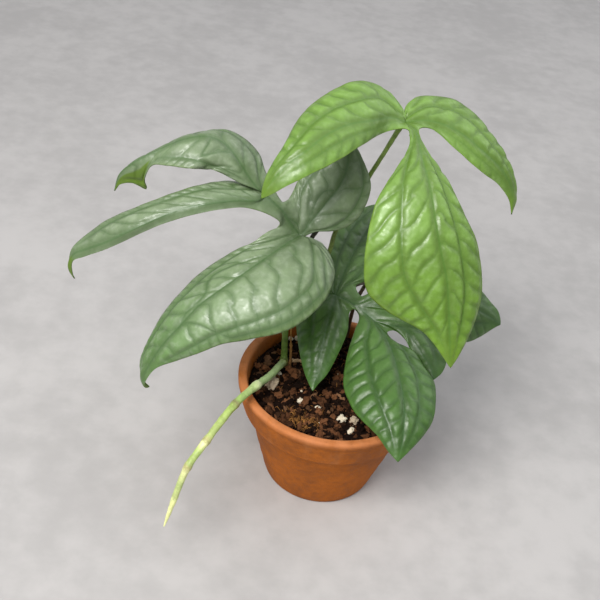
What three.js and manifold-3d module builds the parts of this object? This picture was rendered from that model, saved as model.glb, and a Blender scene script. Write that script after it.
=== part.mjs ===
// A potted amydrium: terracotta pot, soil, creeping stem and three cut leaves.
// Millimetres, +Z up. The origin is the middle of the pot's foot, on the floor.
import * as THREE from "three";
import { mergeVertices } from "three/addons/utils/BufferGeometryUtils.js";
import Module from "manifold-3d";

const wasm = await Module();
wasm.setup();

// Pot
const RIM_RADIUS = 60;
const POT_HEIGHT = 78.5;
const BAND_HEIGHT = 21.5;
const BAND_FOOT_RADIUS = 56;
const BODY_TOP_RADIUS = 52;
const FOOT_RADIUS = 36.8;
const FOOT_ROUNDING = 2.2;
const LIP_WALL = 5.6;
const LIP_ROUNDING = 1.6;
const BODY_WALL = 4.8;
const FLOOR_THICKNESS = 7;
const POT_SIDES = 54;
const DRAIN_RADIUS = 3.5;
const DRAIN_RING = 17;
const DRAIN_COUNT = 3;

// Soil
const SOIL_LEVEL = 70;
const SOIL_RINGS = 8;
const SOIL_RELIEF = 1.1;
const CRUMB_COUNT = 18;

// Plant
const GAP = 0.3;
const BLADE_GAP = 0.45;
const BLADE_THICKNESS = 1.1;
const STATION_STEP = 6;
const ROWS = [0, 0.2, 0.43, 0.72, 1];
const FAN_STEPS = 4;
const WIDE_FAN = 0.1;
const RACHIS_STEPS = 2;
const CELL_RELIEF = 1.1;
const WIDE_CELL = 12;
const CROWN = 0.07;
const STALK_SIDES = 10;

// Leaf lobes run counterclockwise, seen from above.
// A rib is a curve of points, with the direction of the lobe's left side at its base and tip.
// A margin point is [distance along the rib, distance out from it, drop below it].
// A notch is the point where the margin turns from one lobe to the next.
// A lobe's fans are the shares of its left and right margins that lie before its base.
const youngLeaf = {
  rachis: [[17, 43, 240]],
  lobes: [
    {
      at: 0,
      fans: [0.1, 0.02],
      rib: [[17, 43, 240], [30, 47, 241], [41, 48, 239], [52, 47, 235], [64, 45, 228],
        [77, 46, 218], [87, 46, 205], [90, 41, 191]],
      leftward: [[-0.35, 0.85, 0.4], [0.55, 0.8, 0.35]],
      left: [[6, 14, 3], [12, 20, 4], [27, 27, 6], [38, 26, 6], [54, 20, 4], [66, 14, 3],
        [79, 9, 2], [90, 7, 2]],
      right: [[17, 4, 2], [39, 9, 4], [57, 9, 4], [74, 6, 3], [90, 2, 1]],
    },
    {
      at: 0,
      fans: [0.03, 0.14],
      rib: [[17, 43, 240], [9, 40, 243], [-3, 25, 247], [-15, 15, 248], [-26, 4, 246],
        [-36, -8, 241], [-46, -15, 233], [-53, -19, 223], [-56, -21, 216]],
      leftward: [[0.15, -0.9, -0.45], [0.65, -0.7, -0.25]],
      left: [[18, 7, 3], [39, 11, 5], [65, 13, 6], [82, 10, 5], [97, 7, 3], [107, 3, 2]],
      right: [[4, 15, 4], [8, 27, 7], [17, 28, 8], [32, 29, 8], [46, 25, 7], [61, 20, 5],
        [84, 13, 4], [100, 7, 2], [108, 3, 1]],
    },
    {
      at: 0,
      fans: [0.02, 0.02],
      rib: [[17, 43, 240], [22, 37, 240], [27, 12, 236], [33, -7, 228], [38, -20, 216],
        [43, -28, 204], [49, -34, 190], [53, -40, 175], [57, -47, 158], [60, -52, 144]],
      leftward: [[0.9, 0.4, 0.15], [0.95, 0, 0.25]],
      left: [[26, 4, 2], [41, 10, 6], [56, 15, 9], [71, 19, 12], [91, 22, 14], [115, 20, 13],
        [126, 17, 11], [139, 11, 7], [151, 4, 3]],
      right: [[23, 5, 1], [38, 14, 1], [48, 23, 2], [61, 31, 3], [87, 41, 4], [107, 43, 5],
        [121, 34, 4], [134, 15, 2], [141, 9, 1], [149, 4, 0]],
    },
  ],
  notches: [[15, 48, 241], [18, 35, 240], [25, 37, 240]],
};

const sageLeaf = {
  rachis: [[-33, 20, 168], [-47, 21, 184], [-56, 24, 190], [-61, 21, 195]],
  lobes: [
    {
      at: 0,
      fans: [0.2, 0.06],
      rib: [[-33, 20, 168], [-27, 24, 178], [-21, 29, 187], [-15, 34, 196], [-12, 39, 205],
        [-12, 44, 213], [-14, 50, 219]],
      leftward: [[-0.85, 0.25, 0.4], [-1, -0.05, 0]],
      left: [[15, 19, 4], [24, 21, 5], [37, 23, 5], [55, 17, 3], [62, 8, 2]],
      right: [[7, 5, 1], [15, 14, 3], [23, 19, 5], [33, 20, 5], [44, 17, 4], [56, 8, 2],
        [63, 4, 1]],
    },
    {
      at: 3,
      fans: [0.1, 0.15],
      rib: [[-61, 21, 195], [-68, 23, 202], [-73, 25, 208], [-80, 29, 214], [-87, 32, 217],
        [-94, 31, 219], [-104, 28, 218], [-114, 27, 213], [-125, 25, 206], [-135, 24, 199],
        [-143, 24, 190], [-146, 24, 178]],
      leftward: [[-0.6, -0.65, -0.45], [0.3, -0.9, -0.3]],
      left: [[11, 6, 2], [23, 14, 3], [40, 18, 4], [57, 18, 5], [70, 13, 3], [80, 7, 2],
        [92, 6, 10], [101, 5, 17], [105, 3, 8], [110, 1, 2]],
      right: [[4, 12, 6], [18, 17, 9], [36, 14, 10], [56, 14, 14], [75, 12, 13], [95, 8, 10],
        [108, 4, 5]],
    },
    {
      at: 2,
      fans: [0.12, 0.18],
      rib: [[-56, 24, 190], [-60, 16, 191], [-73, 7, 194], [-87, 0, 194], [-104, -4, 189],
        [-125, -10, 178], [-143, -11, 165], [-156, -9, 156], [-162, -9, 152],
        [-165, -10, 146], [-165, -10, 141], [-162, -9, 134]],
      leftward: [[0.8, -0.55, -0.25], [0.2, -0.85, -0.5]],
      left: [[15, 3, 3], [40, 3, 3], [70, 3, 3], [107, 3, 2], [123, 3, 2], [133, 2, 1],
        [145, 1, 1]],
      right: [[11, 21, 6], [26, 19, 5], [50, 14, 4], [84, 14, 4], [106, 15, 4], [120, 11, 3],
        [130, 5, 1], [142, 2, 0]],
    },
    {
      at: 0,
      fans: [0.2, 0.1],
      rib: [[-33, 20, 168], [-38, 13, 168], [-48, 1, 165], [-59, -10, 160], [-72, -20, 152],
        [-85, -28, 142], [-93, -34, 132], [-102, -39, 120], [-109, -43, 106], [-113, -46, 95],
        [-111, -46, 90], [-109, -43, 88]],
      leftward: [[0.75, -0.55, -0.35], [0.8, -0.5, -0.25]],
      left: [[-5, 6, 0], [-9, 12, 1], [-7, 21, 1], [-1, 30, 2], [10, 37, 3], [21, 41, 3],
        [43, 42, 3], [64, 33, 2], [84, 25, 2], [95, 19, 1], [110, 12, 1], [124, 4, 0],
        [138, 2, 0]],
      right: [[11, 11, -2], [17, 13, 0], [26, 14, 4], [34, 17, 8], [46, 19, 11], [68, 20, 15],
        [82, 18, 14], [99, 17, 13], [115, 14, 12], [130, 9, 7], [139, 4, 3]],
    },
  ],
  notches: [[-45, 27, 184], [-67, 24, 196], [-46, 16, 178], [-31, 20, 167]],
};

const lowLeaf = {
  rachis: [[-6, 33, 118], [8, 26, 117], [20, 19, 113]],
  lobes: [
    {
      at: 0,
      fans: [0.08, 0.08],
      rib: [[-6, 33, 118], [-2, 48, 126], [3, 63, 134], [9, 79, 140], [16, 94, 144],
        [20, 108, 145]],
      leftward: [[-0.95, 0.25, 0], [-0.9, 0.4, 0]],
      left: [[6, 9, 1], [19, 13, 2], [32, 16, 2], [47, 18, 2], [60, 16, 2], [76, 10, 1]],
      right: [[11, 10, 1], [21, 18, 2], [37, 22, 3], [59, 20, 3], [74, 11, 2]],
    },
    {
      at: 0,
      fans: [0.05, 0.18],
      rib: [[-6, 33, 118], [-7, 22, 114], [-9, 12, 106], [-10, 0, 97], [-11, -11, 89],
        [-12, -21, 83]],
      leftward: [[1, -0.1, 0.05], [1, -0.1, 0]],
      left: [[9, 11, 3], [22, 13, 3], [39, 10, 3], [53, 6, 1], [60, 2, 1]],
      right: [[-4, 12, 4], [3, 20, 7], [20, 22, 7], [26, 19, 6], [40, 14, 4], [53, 8, 3],
        [61, 3, 1]],
    },
    {
      at: 2,
      fans: [0.03, 0.17],
      rib: [[20, 19, 113], [27, 9, 111], [33, -5, 109], [38, -22, 105], [42, -41, 100],
        [43, -57, 90], [42, -67, 80]],
      leftward: [[0.8, 0.55, 0.3], [1, 0, 0]],
      left: [[23, 7, 3], [26, 14, 6], [37, 18, 7], [46, 22, 9], [56, 21, 8], [71, 18, 7],
        [82, 12, 5], [92, 5, 2]],
      right: [[-6, 6, 1], [0, 14, 3], [15, 26, 6], [43, 33, 7], [58, 31, 7], [72, 27, 6],
        [85, 15, 3], [94, 7, 1]],
    },
    {
      at: 2,
      fans: [0.03, 0.03],
      rib: [[20, 19, 113], [29, 16, 114], [39, 15, 113], [45, 8, 111], [51, 2, 107],
        [58, -3, 101], [61, -8, 95]],
      leftward: [[0.3, 0.9, 0.35], [0.7, 0.6, 0.35]],
      left: [[27, 14, 2], [37, 18, 3], [47, 16, 3], [50, 12, 2], [54, 7, 1]],
      right: [[15, 2, 2], [27, 3, 2], [36, 4, 3], [44, 4, 3], [54, 2, 1]],
    },
    {
      at: 1,
      fans: [0.06, 0.03],
      rib: [[8, 26, 117], [26, 28, 121], [45, 33, 122], [64, 38, 120], [88, 45, 113],
        [98, 47, 107], [105, 48, 102]],
      leftward: [[-0.2, 0.85, 0.5], [0.05, 0.8, 0.55]],
      left: [[21, 15, 3], [41, 23, 4], [61, 23, 4], [77, 20, 3], [87, 15, 3], [93, 11, 2],
        [100, 8, 1], [104, 4, 1]],
      right: [[40, 13, 6], [50, 17, 8], [64, 22, 10], [87, 19, 9], [95, 13, 6], [102, 3, 1]],
    },
  ],
  notches: [[-12, 38, 118], [7, 24, 116], [29, 13, 110], [40, 24, 118], [11, 34, 119]],
};

// Stalks: points along each, and radii at equal distances from its start to its end.
const stalks = {
  stem: {
    path: [[-32.3, 14.2, 44], [-32.3, 14.2, 64], [-32.4, 14.6, 72], [-33.4, 17.2, 84],
      [-34.6, 20, 98]],
    radii: [2, 2, 3, 2.2, 1.9, 1.9],
  },
  runner: {
    path: [[-32.4, 13.4, 73.5], [-40, -10, 80], [-47, -26, 85], [-57, -45, 86], [-70, -71, 78],
      [-78, -82, 67], [-82, -88, 54], [-85, -92, 41], [-88, -96, 28]],
    radii: [2.6, 2.3, 2.3, 2.3, 2.4, 3, 2.4, 2.6, 2.6, 2.3, 2.3, 2.7, 2.2, 2.6, 2.1, 2, 1.8,
      1.3, 0.5],
  },
  youngStalk: {
    path: [[-34.9, 20.4, 98.8], [-33.6, 23.4, 104], [-28.8, 30, 114], [-20.6, 37, 130],
      [-14, 43, 144], [-12, 47, 157], [-4, 51, 175], [3, 52, 197], [9, 50, 215],
      [14, 46.5, 232], [16.5, 43.6, 239.2]],
    radii: [1.9, 1.5, 1.4, 1.4, 1.4, 1.35, 1.4, 1.7],
  },
  sageStalk: {
    path: [[-34.6, 20.2, 89], [-37.2, 27.4, 104], [-33.6, 30.8, 126], [-29, 32.6, 150],
      [-25, 34.5, 161], [-22.5, 35.5, 166.5], [-25, 32, 168], [-30, 27, 167], [-33.2, 21.5, 166.7]],
    radii: [1.8, 1.5, 1.4, 1.4, 1.4, 1.6, 1.7, 1.5],
  },
  lowStalk: {
    path: [[1, 42, 50], [5, 47.5, 62], [7, 50, 72], [7.4, 51.5, 83], [8.4, 53, 96], [11, 55, 106],
      [13, 56, 112], [12, 53, 116.5], [6, 46, 118.5], [-1, 38, 117.5], [-5.6, 33.8, 116.9]],
    radii: [1.6, 1.4, 1.3, 1.3, 1.25, 1.3, 1.6, 1.4],
  },
  sheath: {
    path: [[-28.2, 14.4, 69], [-28.6, 15.6, 78], [-30, 18, 90], [-30.8, 19, 97]],
    radii: [1, 0.8, 0.6, 0.4],
  },
  root: {
    path: [[-29.3, 16.4, 72.2], [-24, 17.6, 72], [-18, 18.8, 70.8], [-12, 19.6, 66]],
    radii: [1.3, 1.2, 1.1, 0.8],
  },
};

// Perlite and bark seen on the soil: x, y, half length, half width, turn in degrees.
const perlite = [
  [-18.6, -17.8, 2.1, 1.8, 80], [-7.1, -23, 2.2, 1.4, 20], [13.2, -15.6, 1.6, 1.2, 60],
  [8.2, -29.7, 2.9, 2.5, 15], [15.6, -30, 2.7, 2.4, 40], [14.7, -37.5, 2.8, 1.7, 60],
  [-30.4, 40.6, 1.8, 1.5, 10], [-26.2, 42, 1.9, 1.5, 80], [-34.3, 4, 1.8, 1.4, 30],
];
const bark = [
  [-37.7, -7.2, 5.4, 3.8, 60], [-43.5, 18, 4.4, 2.6, 110], [-46, 3, 4.4, 2.4, 70],
  [3.2, 2.7, 4.2, 2.6, 35], [6.6, -9.1, 4.2, 2, 150], [-23.7, 4, 4, 2, 15],
  [30, 14, 4.4, 2, 120], [0, 36, 4.8, 2.2, 20], [-20, 38, 4.6, 2.3, 140],
  [1, -19.9, 4.2, 2.2, 95], [40, -14, 4.2, 2.2, 30], [-15.7, -33.1, 6, 4.4, 160],
];

const vector = (p) => new THREE.Vector3(p[0], p[1], p[2]);
const curveOf = (points) =>
  new THREE.CatmullRomCurve3(points.map(vector), false, "centripetal");

// A seeded draw between 0 and 1.
function drawer(seed) {
  let state = seed;
  return () => {
    state = (state * 16807) % 2147483647;
    return state / 2147483647;
  };
}

// The frame of a lobe at a share of its rib: the point, its left side and its upper side.
function ribFrame(lobe, share) {
  const point = lobe.curve.getPointAt(share);
  const along = lobe.curve.getTangentAt(share);
  const left = vector(lobe.leftward[0]).lerp(vector(lobe.leftward[1]), share);
  left.addScaledVector(along, -left.dot(along)).normalize();
  const up = along.clone().cross(left);
  return { point, along, left, up };
}

// A margin point in space. A negative distance along the rib runs back from its base.
function marginPoint(lobe, side, [along, out, drop]) {
  const share = THREE.MathUtils.clamp(along / lobe.length, 0, 1);
  const frame = ribFrame(lobe, share);
  const beyond = along - share * lobe.length;
  return frame.point
    .addScaledVector(frame.along, beyond)
    .addScaledVector(frame.left, side * out)
    .addScaledVector(frame.up, -drop);
}

// The upper side's quilting: veins lie low and the cells between them stand up.
function quilt(station, row) {
  const acrossCell = row < ROWS[2] ? row / ROWS[2] : (row - ROWS[2]) / (1 - ROWS[2]);
  const alongCell = Math.abs(Math.sin((station * Math.PI) / 2));
  return Math.sin(acrossCell * Math.PI) * (0.2 + 0.8 * alongCell);
}

// How far one point lies from another, square to a direction.
function squareAcross(from, to, along) {
  const across = to.clone().sub(from);
  return across.addScaledVector(along, -across.dot(along)).length();
}

// One sector of a blade: from a lobe's left half round the notch to the next lobe's right half.
function sector(leaf, index) {
  const first = leaf.lobes[index];
  const second = leaf.lobes[(index + 1) % leaf.lobes.length];
  const notch = vector(leaf.notches[index]);
  const tip = (lobe) => vector(lobe.rib[lobe.rib.length - 1]);
  const outline = new THREE.CatmullRomCurve3(
    [
      tip(first),
      ...first.left.map((p) => marginPoint(first, 1, p)).reverse(),
      notch,
      ...second.right.map((p) => marginPoint(second, -1, p)),
      tip(second),
    ],
    false,
    "centripetal",
  );
  const pieces = first.left.length + second.right.length + 2;
  outline.arcLengthDivisions = pieces * 40;
  const notchShare =
    outline.getLengths()[(first.left.length + 1) * 40] / outline.getLength();
  const columns = [];
  const half = (lobe, stations, from, fan) => {
    for (const station of stations) {
      const share = station / lobe.stations;
      const frame = ribFrame(lobe, share);
      const reach = fan + (1 - fan) * share;
      const outer = outline.getPointAt(notchShare + (from - notchShare) * reach);
      const breadth = squareAcross(frame.point, outer, frame.along);
      columns.push({ inner: frame.point, outer, up: frame.up, breadth, station });
    }
  };
  const counting = (count) => [...Array(count + 1).keys()];
  const [leftFan, rightFan] = [first.fans[0], second.fans[1]];
  half(first, counting(first.stations).reverse(), 0, leftFan);
  const fanSteps = leftFan + rightFan > WIDE_FAN ? FAN_STEPS : 1;
  const steps = Math.abs(second.at - first.at) * RACHIS_STEPS || fanSteps;
  const bases = [ribFrame(first, 0), ribFrame(second, 0)];
  for (let step = 1; step < steps; step++) {
    const share = step / steps;
    const place = first.at + (second.at - first.at) * share;
    const post = Math.min(Math.floor(place), Math.max(leaf.rachis.length - 2, 0));
    const inner = vector(leaf.rachis[post]);
    if (leaf.rachis.length > 1) inner.lerp(vector(leaf.rachis[post + 1]), place - post);
    const reach = leftFan * (1 - share) - rightFan * share;
    const end = reach > 0 ? 0 : 1;
    const outer = outline.getPointAt(notchShare + (end - notchShare) * Math.abs(reach));
    const up = bases[0].up.clone().lerp(bases[1].up, share).normalize();
    const [left, right] = bases.map((base) => squareAcross(inner, outer, base.along));
    const breadth = THREE.MathUtils.lerp(left, right, share);
    columns.push({ inner, outer, up, breadth, station: 0 });
  }
  half(second, counting(second.stations), 1, rightFan);

  const sheet = new THREE.PlaneGeometry(1, 1, columns.length - 1, ROWS.length - 1);
  const position = sheet.getAttribute("position");
  for (let i = 0; i < position.count; i++) {
    const column = columns[i % columns.length];
    const row = ROWS[Math.floor(i / columns.length)];
    const room = Math.min(column.breadth / WIDE_CELL, 1);
    const lift =
      CROWN * column.breadth * 4 * row * (1 - row) +
      CELL_RELIEF * room * quilt(column.station, row);
    const place = column.inner.clone().lerp(column.outer, row);
    place.addScaledVector(column.up, lift);
    position.setXYZ(i, place.x, place.y, place.z);
  }
  return sheet.toNonIndexed();
}

// Joins loose triangles by their corners and drops those that have shrunk to a line.
function weld(positions) {
  const loose = new THREE.BufferGeometry();
  loose.setAttribute("position", new THREE.Float32BufferAttribute(positions, 3));
  const joined = mergeVertices(loose, 1e-3);
  const kept = [];
  const index = joined.index.array;
  for (let i = 0; i < index.length; i += 3) {
    const [a, b, c] = [index[i], index[i + 1], index[i + 2]];
    if (a !== b && b !== c && c !== a) kept.push(a, b, c);
  }
  joined.setIndex(kept);
  joined.computeVertexNormals();
  return joined;
}

// Gives a sheet its thickness, with both faces split into triangles alike.
function thicken(sheet, thickness) {
  const position = sheet.getAttribute("position");
  const normal = sheet.getAttribute("normal");
  const count = position.count;
  const corners = [];
  for (const side of [0.5, -0.5]) {
    for (let i = 0; i < count; i++) {
      const place = new THREE.Vector3().fromBufferAttribute(position, i);
      const out = new THREE.Vector3().fromBufferAttribute(normal, i);
      corners.push(...place.addScaledVector(out, side * thickness).toArray());
    }
  }
  const index = sheet.index.array;
  const edges = new Map();
  const faces = [];
  for (let i = 0; i < index.length; i += 3) {
    const [a, b, c] = [index[i], index[i + 1], index[i + 2]];
    faces.push(a, b, c, a + count, c + count, b + count);
    for (const [from, to] of [[a, b], [b, c], [c, a]]) edges.set(from + "_" + to, [from, to]);
  }
  for (const [from, to] of edges.values()) {
    if (edges.has(to + "_" + from)) continue;
    faces.push(from, from + count, to + count, from, to + count, to);
  }
  const body = new THREE.BufferGeometry();
  body.setAttribute("position", new THREE.Float32BufferAttribute(corners, 3));
  body.setIndex(faces);
  return body;
}

function blade(leaf, thickness) {
  for (const lobe of leaf.lobes) {
    lobe.curve = curveOf(lobe.rib);
    lobe.length = lobe.curve.getLength();
    lobe.stations = 2 * Math.max(3, Math.round(lobe.length / STATION_STEP / 2));
  }
  const positions = leaf.lobes.flatMap((_, index) => [
    ...sector(leaf, index).getAttribute("position").array,
  ]);
  return thicken(weld(positions), thickness);
}

// A round stalk with rounded-off radii along a smooth curve.
function stalk({ path, radii }, extra = 0) {
  const curve = curveOf(path);
  const steps = Math.max(6, (radii.length - 1) * 2, Math.round(curve.getLength() / 7));
  const frames = curve.computeFrenetFrames(steps);
  const body = new THREE.CylinderGeometry(1, 1, 1, STALK_SIDES, steps);
  const position = body.getAttribute("position");
  for (let i = 0; i < position.count; i++) {
    const step = Math.round((position.getY(i) + 0.5) * steps);
    const share = step / steps;
    const place = share * (radii.length - 1);
    const post = Math.min(Math.floor(place), radii.length - 2);
    const radius = THREE.MathUtils.lerp(radii[post], radii[post + 1], place - post) + extra;
    const centre = curve.getPointAt(share);
    centre.addScaledVector(frames.normals[step], position.getX(i) * radius);
    centre.addScaledVector(frames.binormals[step], -position.getZ(i) * radius);
    if (step === 0) centre.addScaledVector(frames.tangents[0], -extra);
    if (step === steps) centre.addScaledVector(frames.tangents[steps], extra);
    position.setXYZ(i, centre.x, centre.y, centre.z);
  }
  return body;
}

function solidOf(geometry) {
  const loose = geometry.index ? geometry.toNonIndexed() : geometry;
  const bare = new THREE.BufferGeometry();
  bare.setAttribute("position", loose.getAttribute("position"));
  const joined = mergeVertices(bare, 1e-4);
  return new wasm.Manifold(
    new wasm.Mesh({
      numProp: 3,
      vertProperties: new Float32Array(joined.attributes.position.array),
      triVerts: new Uint32Array(joined.index.array),
    }),
  );
}

// Keeps the largest body: a cut or a join can leave scraps.
function geometryOf(solid) {
  const bodies = solid.decompose().sort((a, b) => b.volume() - a.volume());
  const mesh = bodies[0].getMesh();
  const geometry = new THREE.BufferGeometry();
  geometry.setAttribute("position", new THREE.BufferAttribute(mesh.vertProperties, 3));
  geometry.setIndex(new THREE.BufferAttribute(mesh.triVerts, 1));
  return geometry;
}

function cut(geometry, cutters) {
  return geometryOf(
    cutters.reduce((left, cutter) => left.subtract(solidOf(cutter)), solidOf(geometry)),
  );
}

// The inner wall of the pot: its radius at each height.
const INNER_PROFILE = [
  [FOOT_RADIUS - BODY_WALL + 1, FLOOR_THICKNESS],
  [BODY_TOP_RADIUS - BODY_WALL, POT_HEIGHT - BAND_HEIGHT - 4],
  [BAND_FOOT_RADIUS - BODY_WALL, POT_HEIGHT - BAND_HEIGHT + 2],
  [RIM_RADIUS - LIP_WALL, POT_HEIGHT - LIP_ROUNDING],
];

const turned = (profile, sides) =>
  new THREE.LatheGeometry(
    profile.map(([radius, height]) => new THREE.Vector2(radius, height)),
    sides,
  ).rotateX(Math.PI / 2);

function rounding(centreRadius, centreHeight, radius, fromTurn, toTurn, steps) {
  return [...Array(steps + 1).keys()].map((step) => {
    const turn = THREE.MathUtils.degToRad(fromTurn + ((toTurn - fromTurn) * step) / steps);
    return [centreRadius + radius * Math.cos(turn), centreHeight + radius * Math.sin(turn)];
  });
}

function pot() {
  const bandFoot = POT_HEIGHT - BAND_HEIGHT;
  const body = turned(
    [
      [0, 0],
      ...rounding(FOOT_RADIUS - FOOT_ROUNDING, FOOT_ROUNDING, FOOT_ROUNDING, -90, -15, 3),
      [BODY_TOP_RADIUS, bandFoot],
      [BAND_FOOT_RADIUS - 1, bandFoot + 0.4],
      [BAND_FOOT_RADIUS, bandFoot + 1.4],
      ...rounding(
        RIM_RADIUS - LIP_ROUNDING, POT_HEIGHT - LIP_ROUNDING, LIP_ROUNDING, 0, 90, 3,
      ),
      ...rounding(
        RIM_RADIUS - LIP_WALL + LIP_ROUNDING, POT_HEIGHT - LIP_ROUNDING, LIP_ROUNDING, 90, 180, 3,
      ).slice(0, -1),
      ...[...INNER_PROFILE].reverse(),
      [0, FLOOR_THICKNESS],
    ],
    POT_SIDES,
  );
  const drains = [...Array(DRAIN_COUNT).keys()].map((i) => {
    const turn = (2 * Math.PI * i) / DRAIN_COUNT;
    return new THREE.CylinderGeometry(DRAIN_RADIUS, DRAIN_RADIUS, 3 * FLOOR_THICKNESS, 12)
      .rotateX(Math.PI / 2)
      .translate(DRAIN_RING * Math.cos(turn), DRAIN_RING * Math.sin(turn), 0);
  });
  return cut(body, drains);
}

function grain([x, y, long, wide, turn], height, detail, draw) {
  const body = new THREE.IcosahedronGeometry(1, detail);
  const position = body.getAttribute("position");
  const lean = draw() * 6;
  for (let i = 0; i < position.count; i++) {
    const [a, b, c] = [position.getX(i), position.getY(i), position.getZ(i)];
    const swell = 1 + 0.14 * Math.sin(5 * a + 3 * b + 4 * c + lean);
    position.setXYZ(i, a * swell, b * swell, c * swell);
  }
  return body
    .scale(long, wide, height)
    .rotateZ(THREE.MathUtils.degToRad(turn))
    .rotateX((draw() - 0.5) * 0.5)
    .translate(x, y, SOIL_LEVEL + 0.15 * height);
}

function soil(holes) {
  const edge = INNER_PROFILE.map(([radius, height]) => [radius - GAP, height]).slice(0, 3);
  edge[0][1] += GAP;
  const rim =
    THREE.MathUtils.mapLinear(
      SOIL_LEVEL, INNER_PROFILE[2][1], INNER_PROFILE[3][1], INNER_PROFILE[2][0], INNER_PROFILE[3][0],
    ) - GAP;
  const rings = [...Array(SOIL_RINGS).keys()].map((i) => [
    rim * (1 - (i + 1) / SOIL_RINGS), SOIL_LEVEL,
  ]);
  const body = turned([[0, edge[0][1]], ...edge, [rim, SOIL_LEVEL - 0.8], ...rings], POT_SIDES);
  const position = body.getAttribute("position");
  for (let i = 0; i < position.count; i++) {
    if (position.getZ(i) < SOIL_LEVEL - 0.1) continue;
    const [x, y] = [position.getX(i), position.getY(i)];
    const relief =
      Math.sin(0.31 * x + 1.3) * Math.sin(0.27 * y) + 0.7 * Math.sin(0.83 * x - 0.61 * y + 2) +
      0.6 * Math.sin(0.47 * x + 0.93 * y);
    position.setZ(i, SOIL_LEVEL + SOIL_RELIEF * 0.5 * relief);
  }
  const draw = drawer(11);
  const crumbs = [...Array(CRUMB_COUNT).keys()].map(() => {
    const [reach, turn] = [46 * Math.sqrt(draw()), 2 * Math.PI * draw()];
    const size = 1.6 + 1.8 * draw();
    return [reach * Math.cos(turn), reach * Math.sin(turn), size, size * 0.8, 180 * draw()];
  });
  let solid = solidOf(body);
  for (const chip of bark) solid = solid.add(solidOf(grain(chip, 1.8, 0, draw)));
  for (const bead of perlite) solid = solid.add(solidOf(grain(bead, bead[3], 0, draw)));
  for (const crumb of crumbs) solid = solid.add(solidOf(grain(crumb, crumb[2] * 0.8, 0, draw)));
  for (const hole of holes) solid = solid.subtract(solidOf(hole));
  return geometryOf(solid);
}

const wide = (name) => stalk(stalks[name], GAP);
const youngCutter = blade(youngLeaf, BLADE_THICKNESS + 2 * BLADE_GAP);
const sageCutter = blade(sageLeaf, BLADE_THICKNESS + 2 * BLADE_GAP);
const lowCutter = blade(lowLeaf, BLADE_THICKNESS + 2 * BLADE_GAP);

function material(colour, roughness) {
  return new THREE.MeshStandardMaterial({
    color: colour, roughness, metalness: 0, side: THREE.FrontSide,
  });
}

function mesh(name, geometry, surface) {
  const made = new THREE.Mesh(geometry, surface);
  made.name = name;
  return made;
}

function group(name, ...children) {
  const made = new THREE.Group();
  made.name = name;
  made.add(...children);
  return made;
}

const plant = group(
  "plant",
  group(
    "creeping_stem",
    mesh("main_stem", stalk(stalks.stem), material(0x5f8f4a, 0.5)),
    mesh("runner", cut(stalk(stalks.runner), [wide("stem")]), material(0x9dbb86, 0.5)),
    mesh(
      "dry_sheath",
      cut(stalk(stalks.sheath), [wide("stem"), wide("runner")]),
      material(0xb08a56, 0.8),
    ),
    mesh(
      "surface_root",
      cut(stalk(stalks.root), [wide("stem"), wide("runner"), wide("sheath")]),
      material(0xc7a77c, 0.7),
    ),
  ),
  group(
    "young_leaf",
    mesh("young_leaf_blade", blade(youngLeaf, BLADE_THICKNESS), material(0x6fb23c, 0.35)),
    mesh(
      "young_leaf_stalk",
      cut(stalk(stalks.youngStalk), [wide("stem"), youngCutter, sageCutter, lowCutter]),
      material(0x4a4f22, 0.5),
    ),
  ),
  group(
    "sage_leaf",
    mesh("sage_leaf_blade", blade(sageLeaf, BLADE_THICKNESS), material(0x7fa183, 0.4)),
    mesh(
      "sage_leaf_stalk",
      cut(stalk(stalks.sageStalk), [wide("stem"), wide("youngStalk"), sageCutter]),
      material(0x2a211b, 0.5),
    ),
  ),
  group(
    "low_leaf",
    mesh("low_leaf_blade", blade(lowLeaf, BLADE_THICKNESS), material(0x3f7d3a, 0.4)),
    mesh("low_leaf_stalk", cut(stalk(stalks.lowStalk), [lowCutter]), material(0x4a2c1a, 0.5)),
  ),
);

const pottedPlant = group(
  "potted_amydrium",
  mesh("pot", pot(), material(0xb5683a, 0.85)),
  mesh("soil", soil(["stem", "lowStalk", "root", "sheath", "runner"].map(wide)), material(0x3b241a, 1)),
  plant,
);
export default pottedPlant;
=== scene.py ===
"""A potted amydrium with its looks: terracotta, soil, creeping stem and three quilted leaves.

The plant's shapes are given in millimetres, +Z up, from the middle of the pot's foot on the floor.
"""

import math
import random

import bmesh
import bpy
import numpy as np
from bpy.props import FloatProperty, FloatVectorProperty, IntProperty, PointerProperty
from mathutils import Matrix, Vector, noise


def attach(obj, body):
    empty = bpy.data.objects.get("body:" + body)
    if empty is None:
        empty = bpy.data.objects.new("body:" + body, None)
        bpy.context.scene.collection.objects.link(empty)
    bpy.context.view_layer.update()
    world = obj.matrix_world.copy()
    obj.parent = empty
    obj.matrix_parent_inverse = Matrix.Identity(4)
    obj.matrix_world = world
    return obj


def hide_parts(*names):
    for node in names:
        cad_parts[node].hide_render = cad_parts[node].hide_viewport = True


bl_info = {
    "name": "Potted Amydrium",
    "version": (1, 0, 0),
    "blender": (4, 5, 0),
    "location": "View3D > Sidebar > Plant",
    "description": "Builds a potted amydrium around its packed frame",
    "category": "Add Mesh",
}

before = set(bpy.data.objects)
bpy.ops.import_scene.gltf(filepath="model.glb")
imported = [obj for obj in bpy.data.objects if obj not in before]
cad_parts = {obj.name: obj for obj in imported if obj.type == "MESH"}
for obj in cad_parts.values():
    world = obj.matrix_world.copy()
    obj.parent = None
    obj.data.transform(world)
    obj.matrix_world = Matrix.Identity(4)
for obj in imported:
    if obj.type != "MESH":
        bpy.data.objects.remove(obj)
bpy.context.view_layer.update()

MM = 0.001

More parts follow.
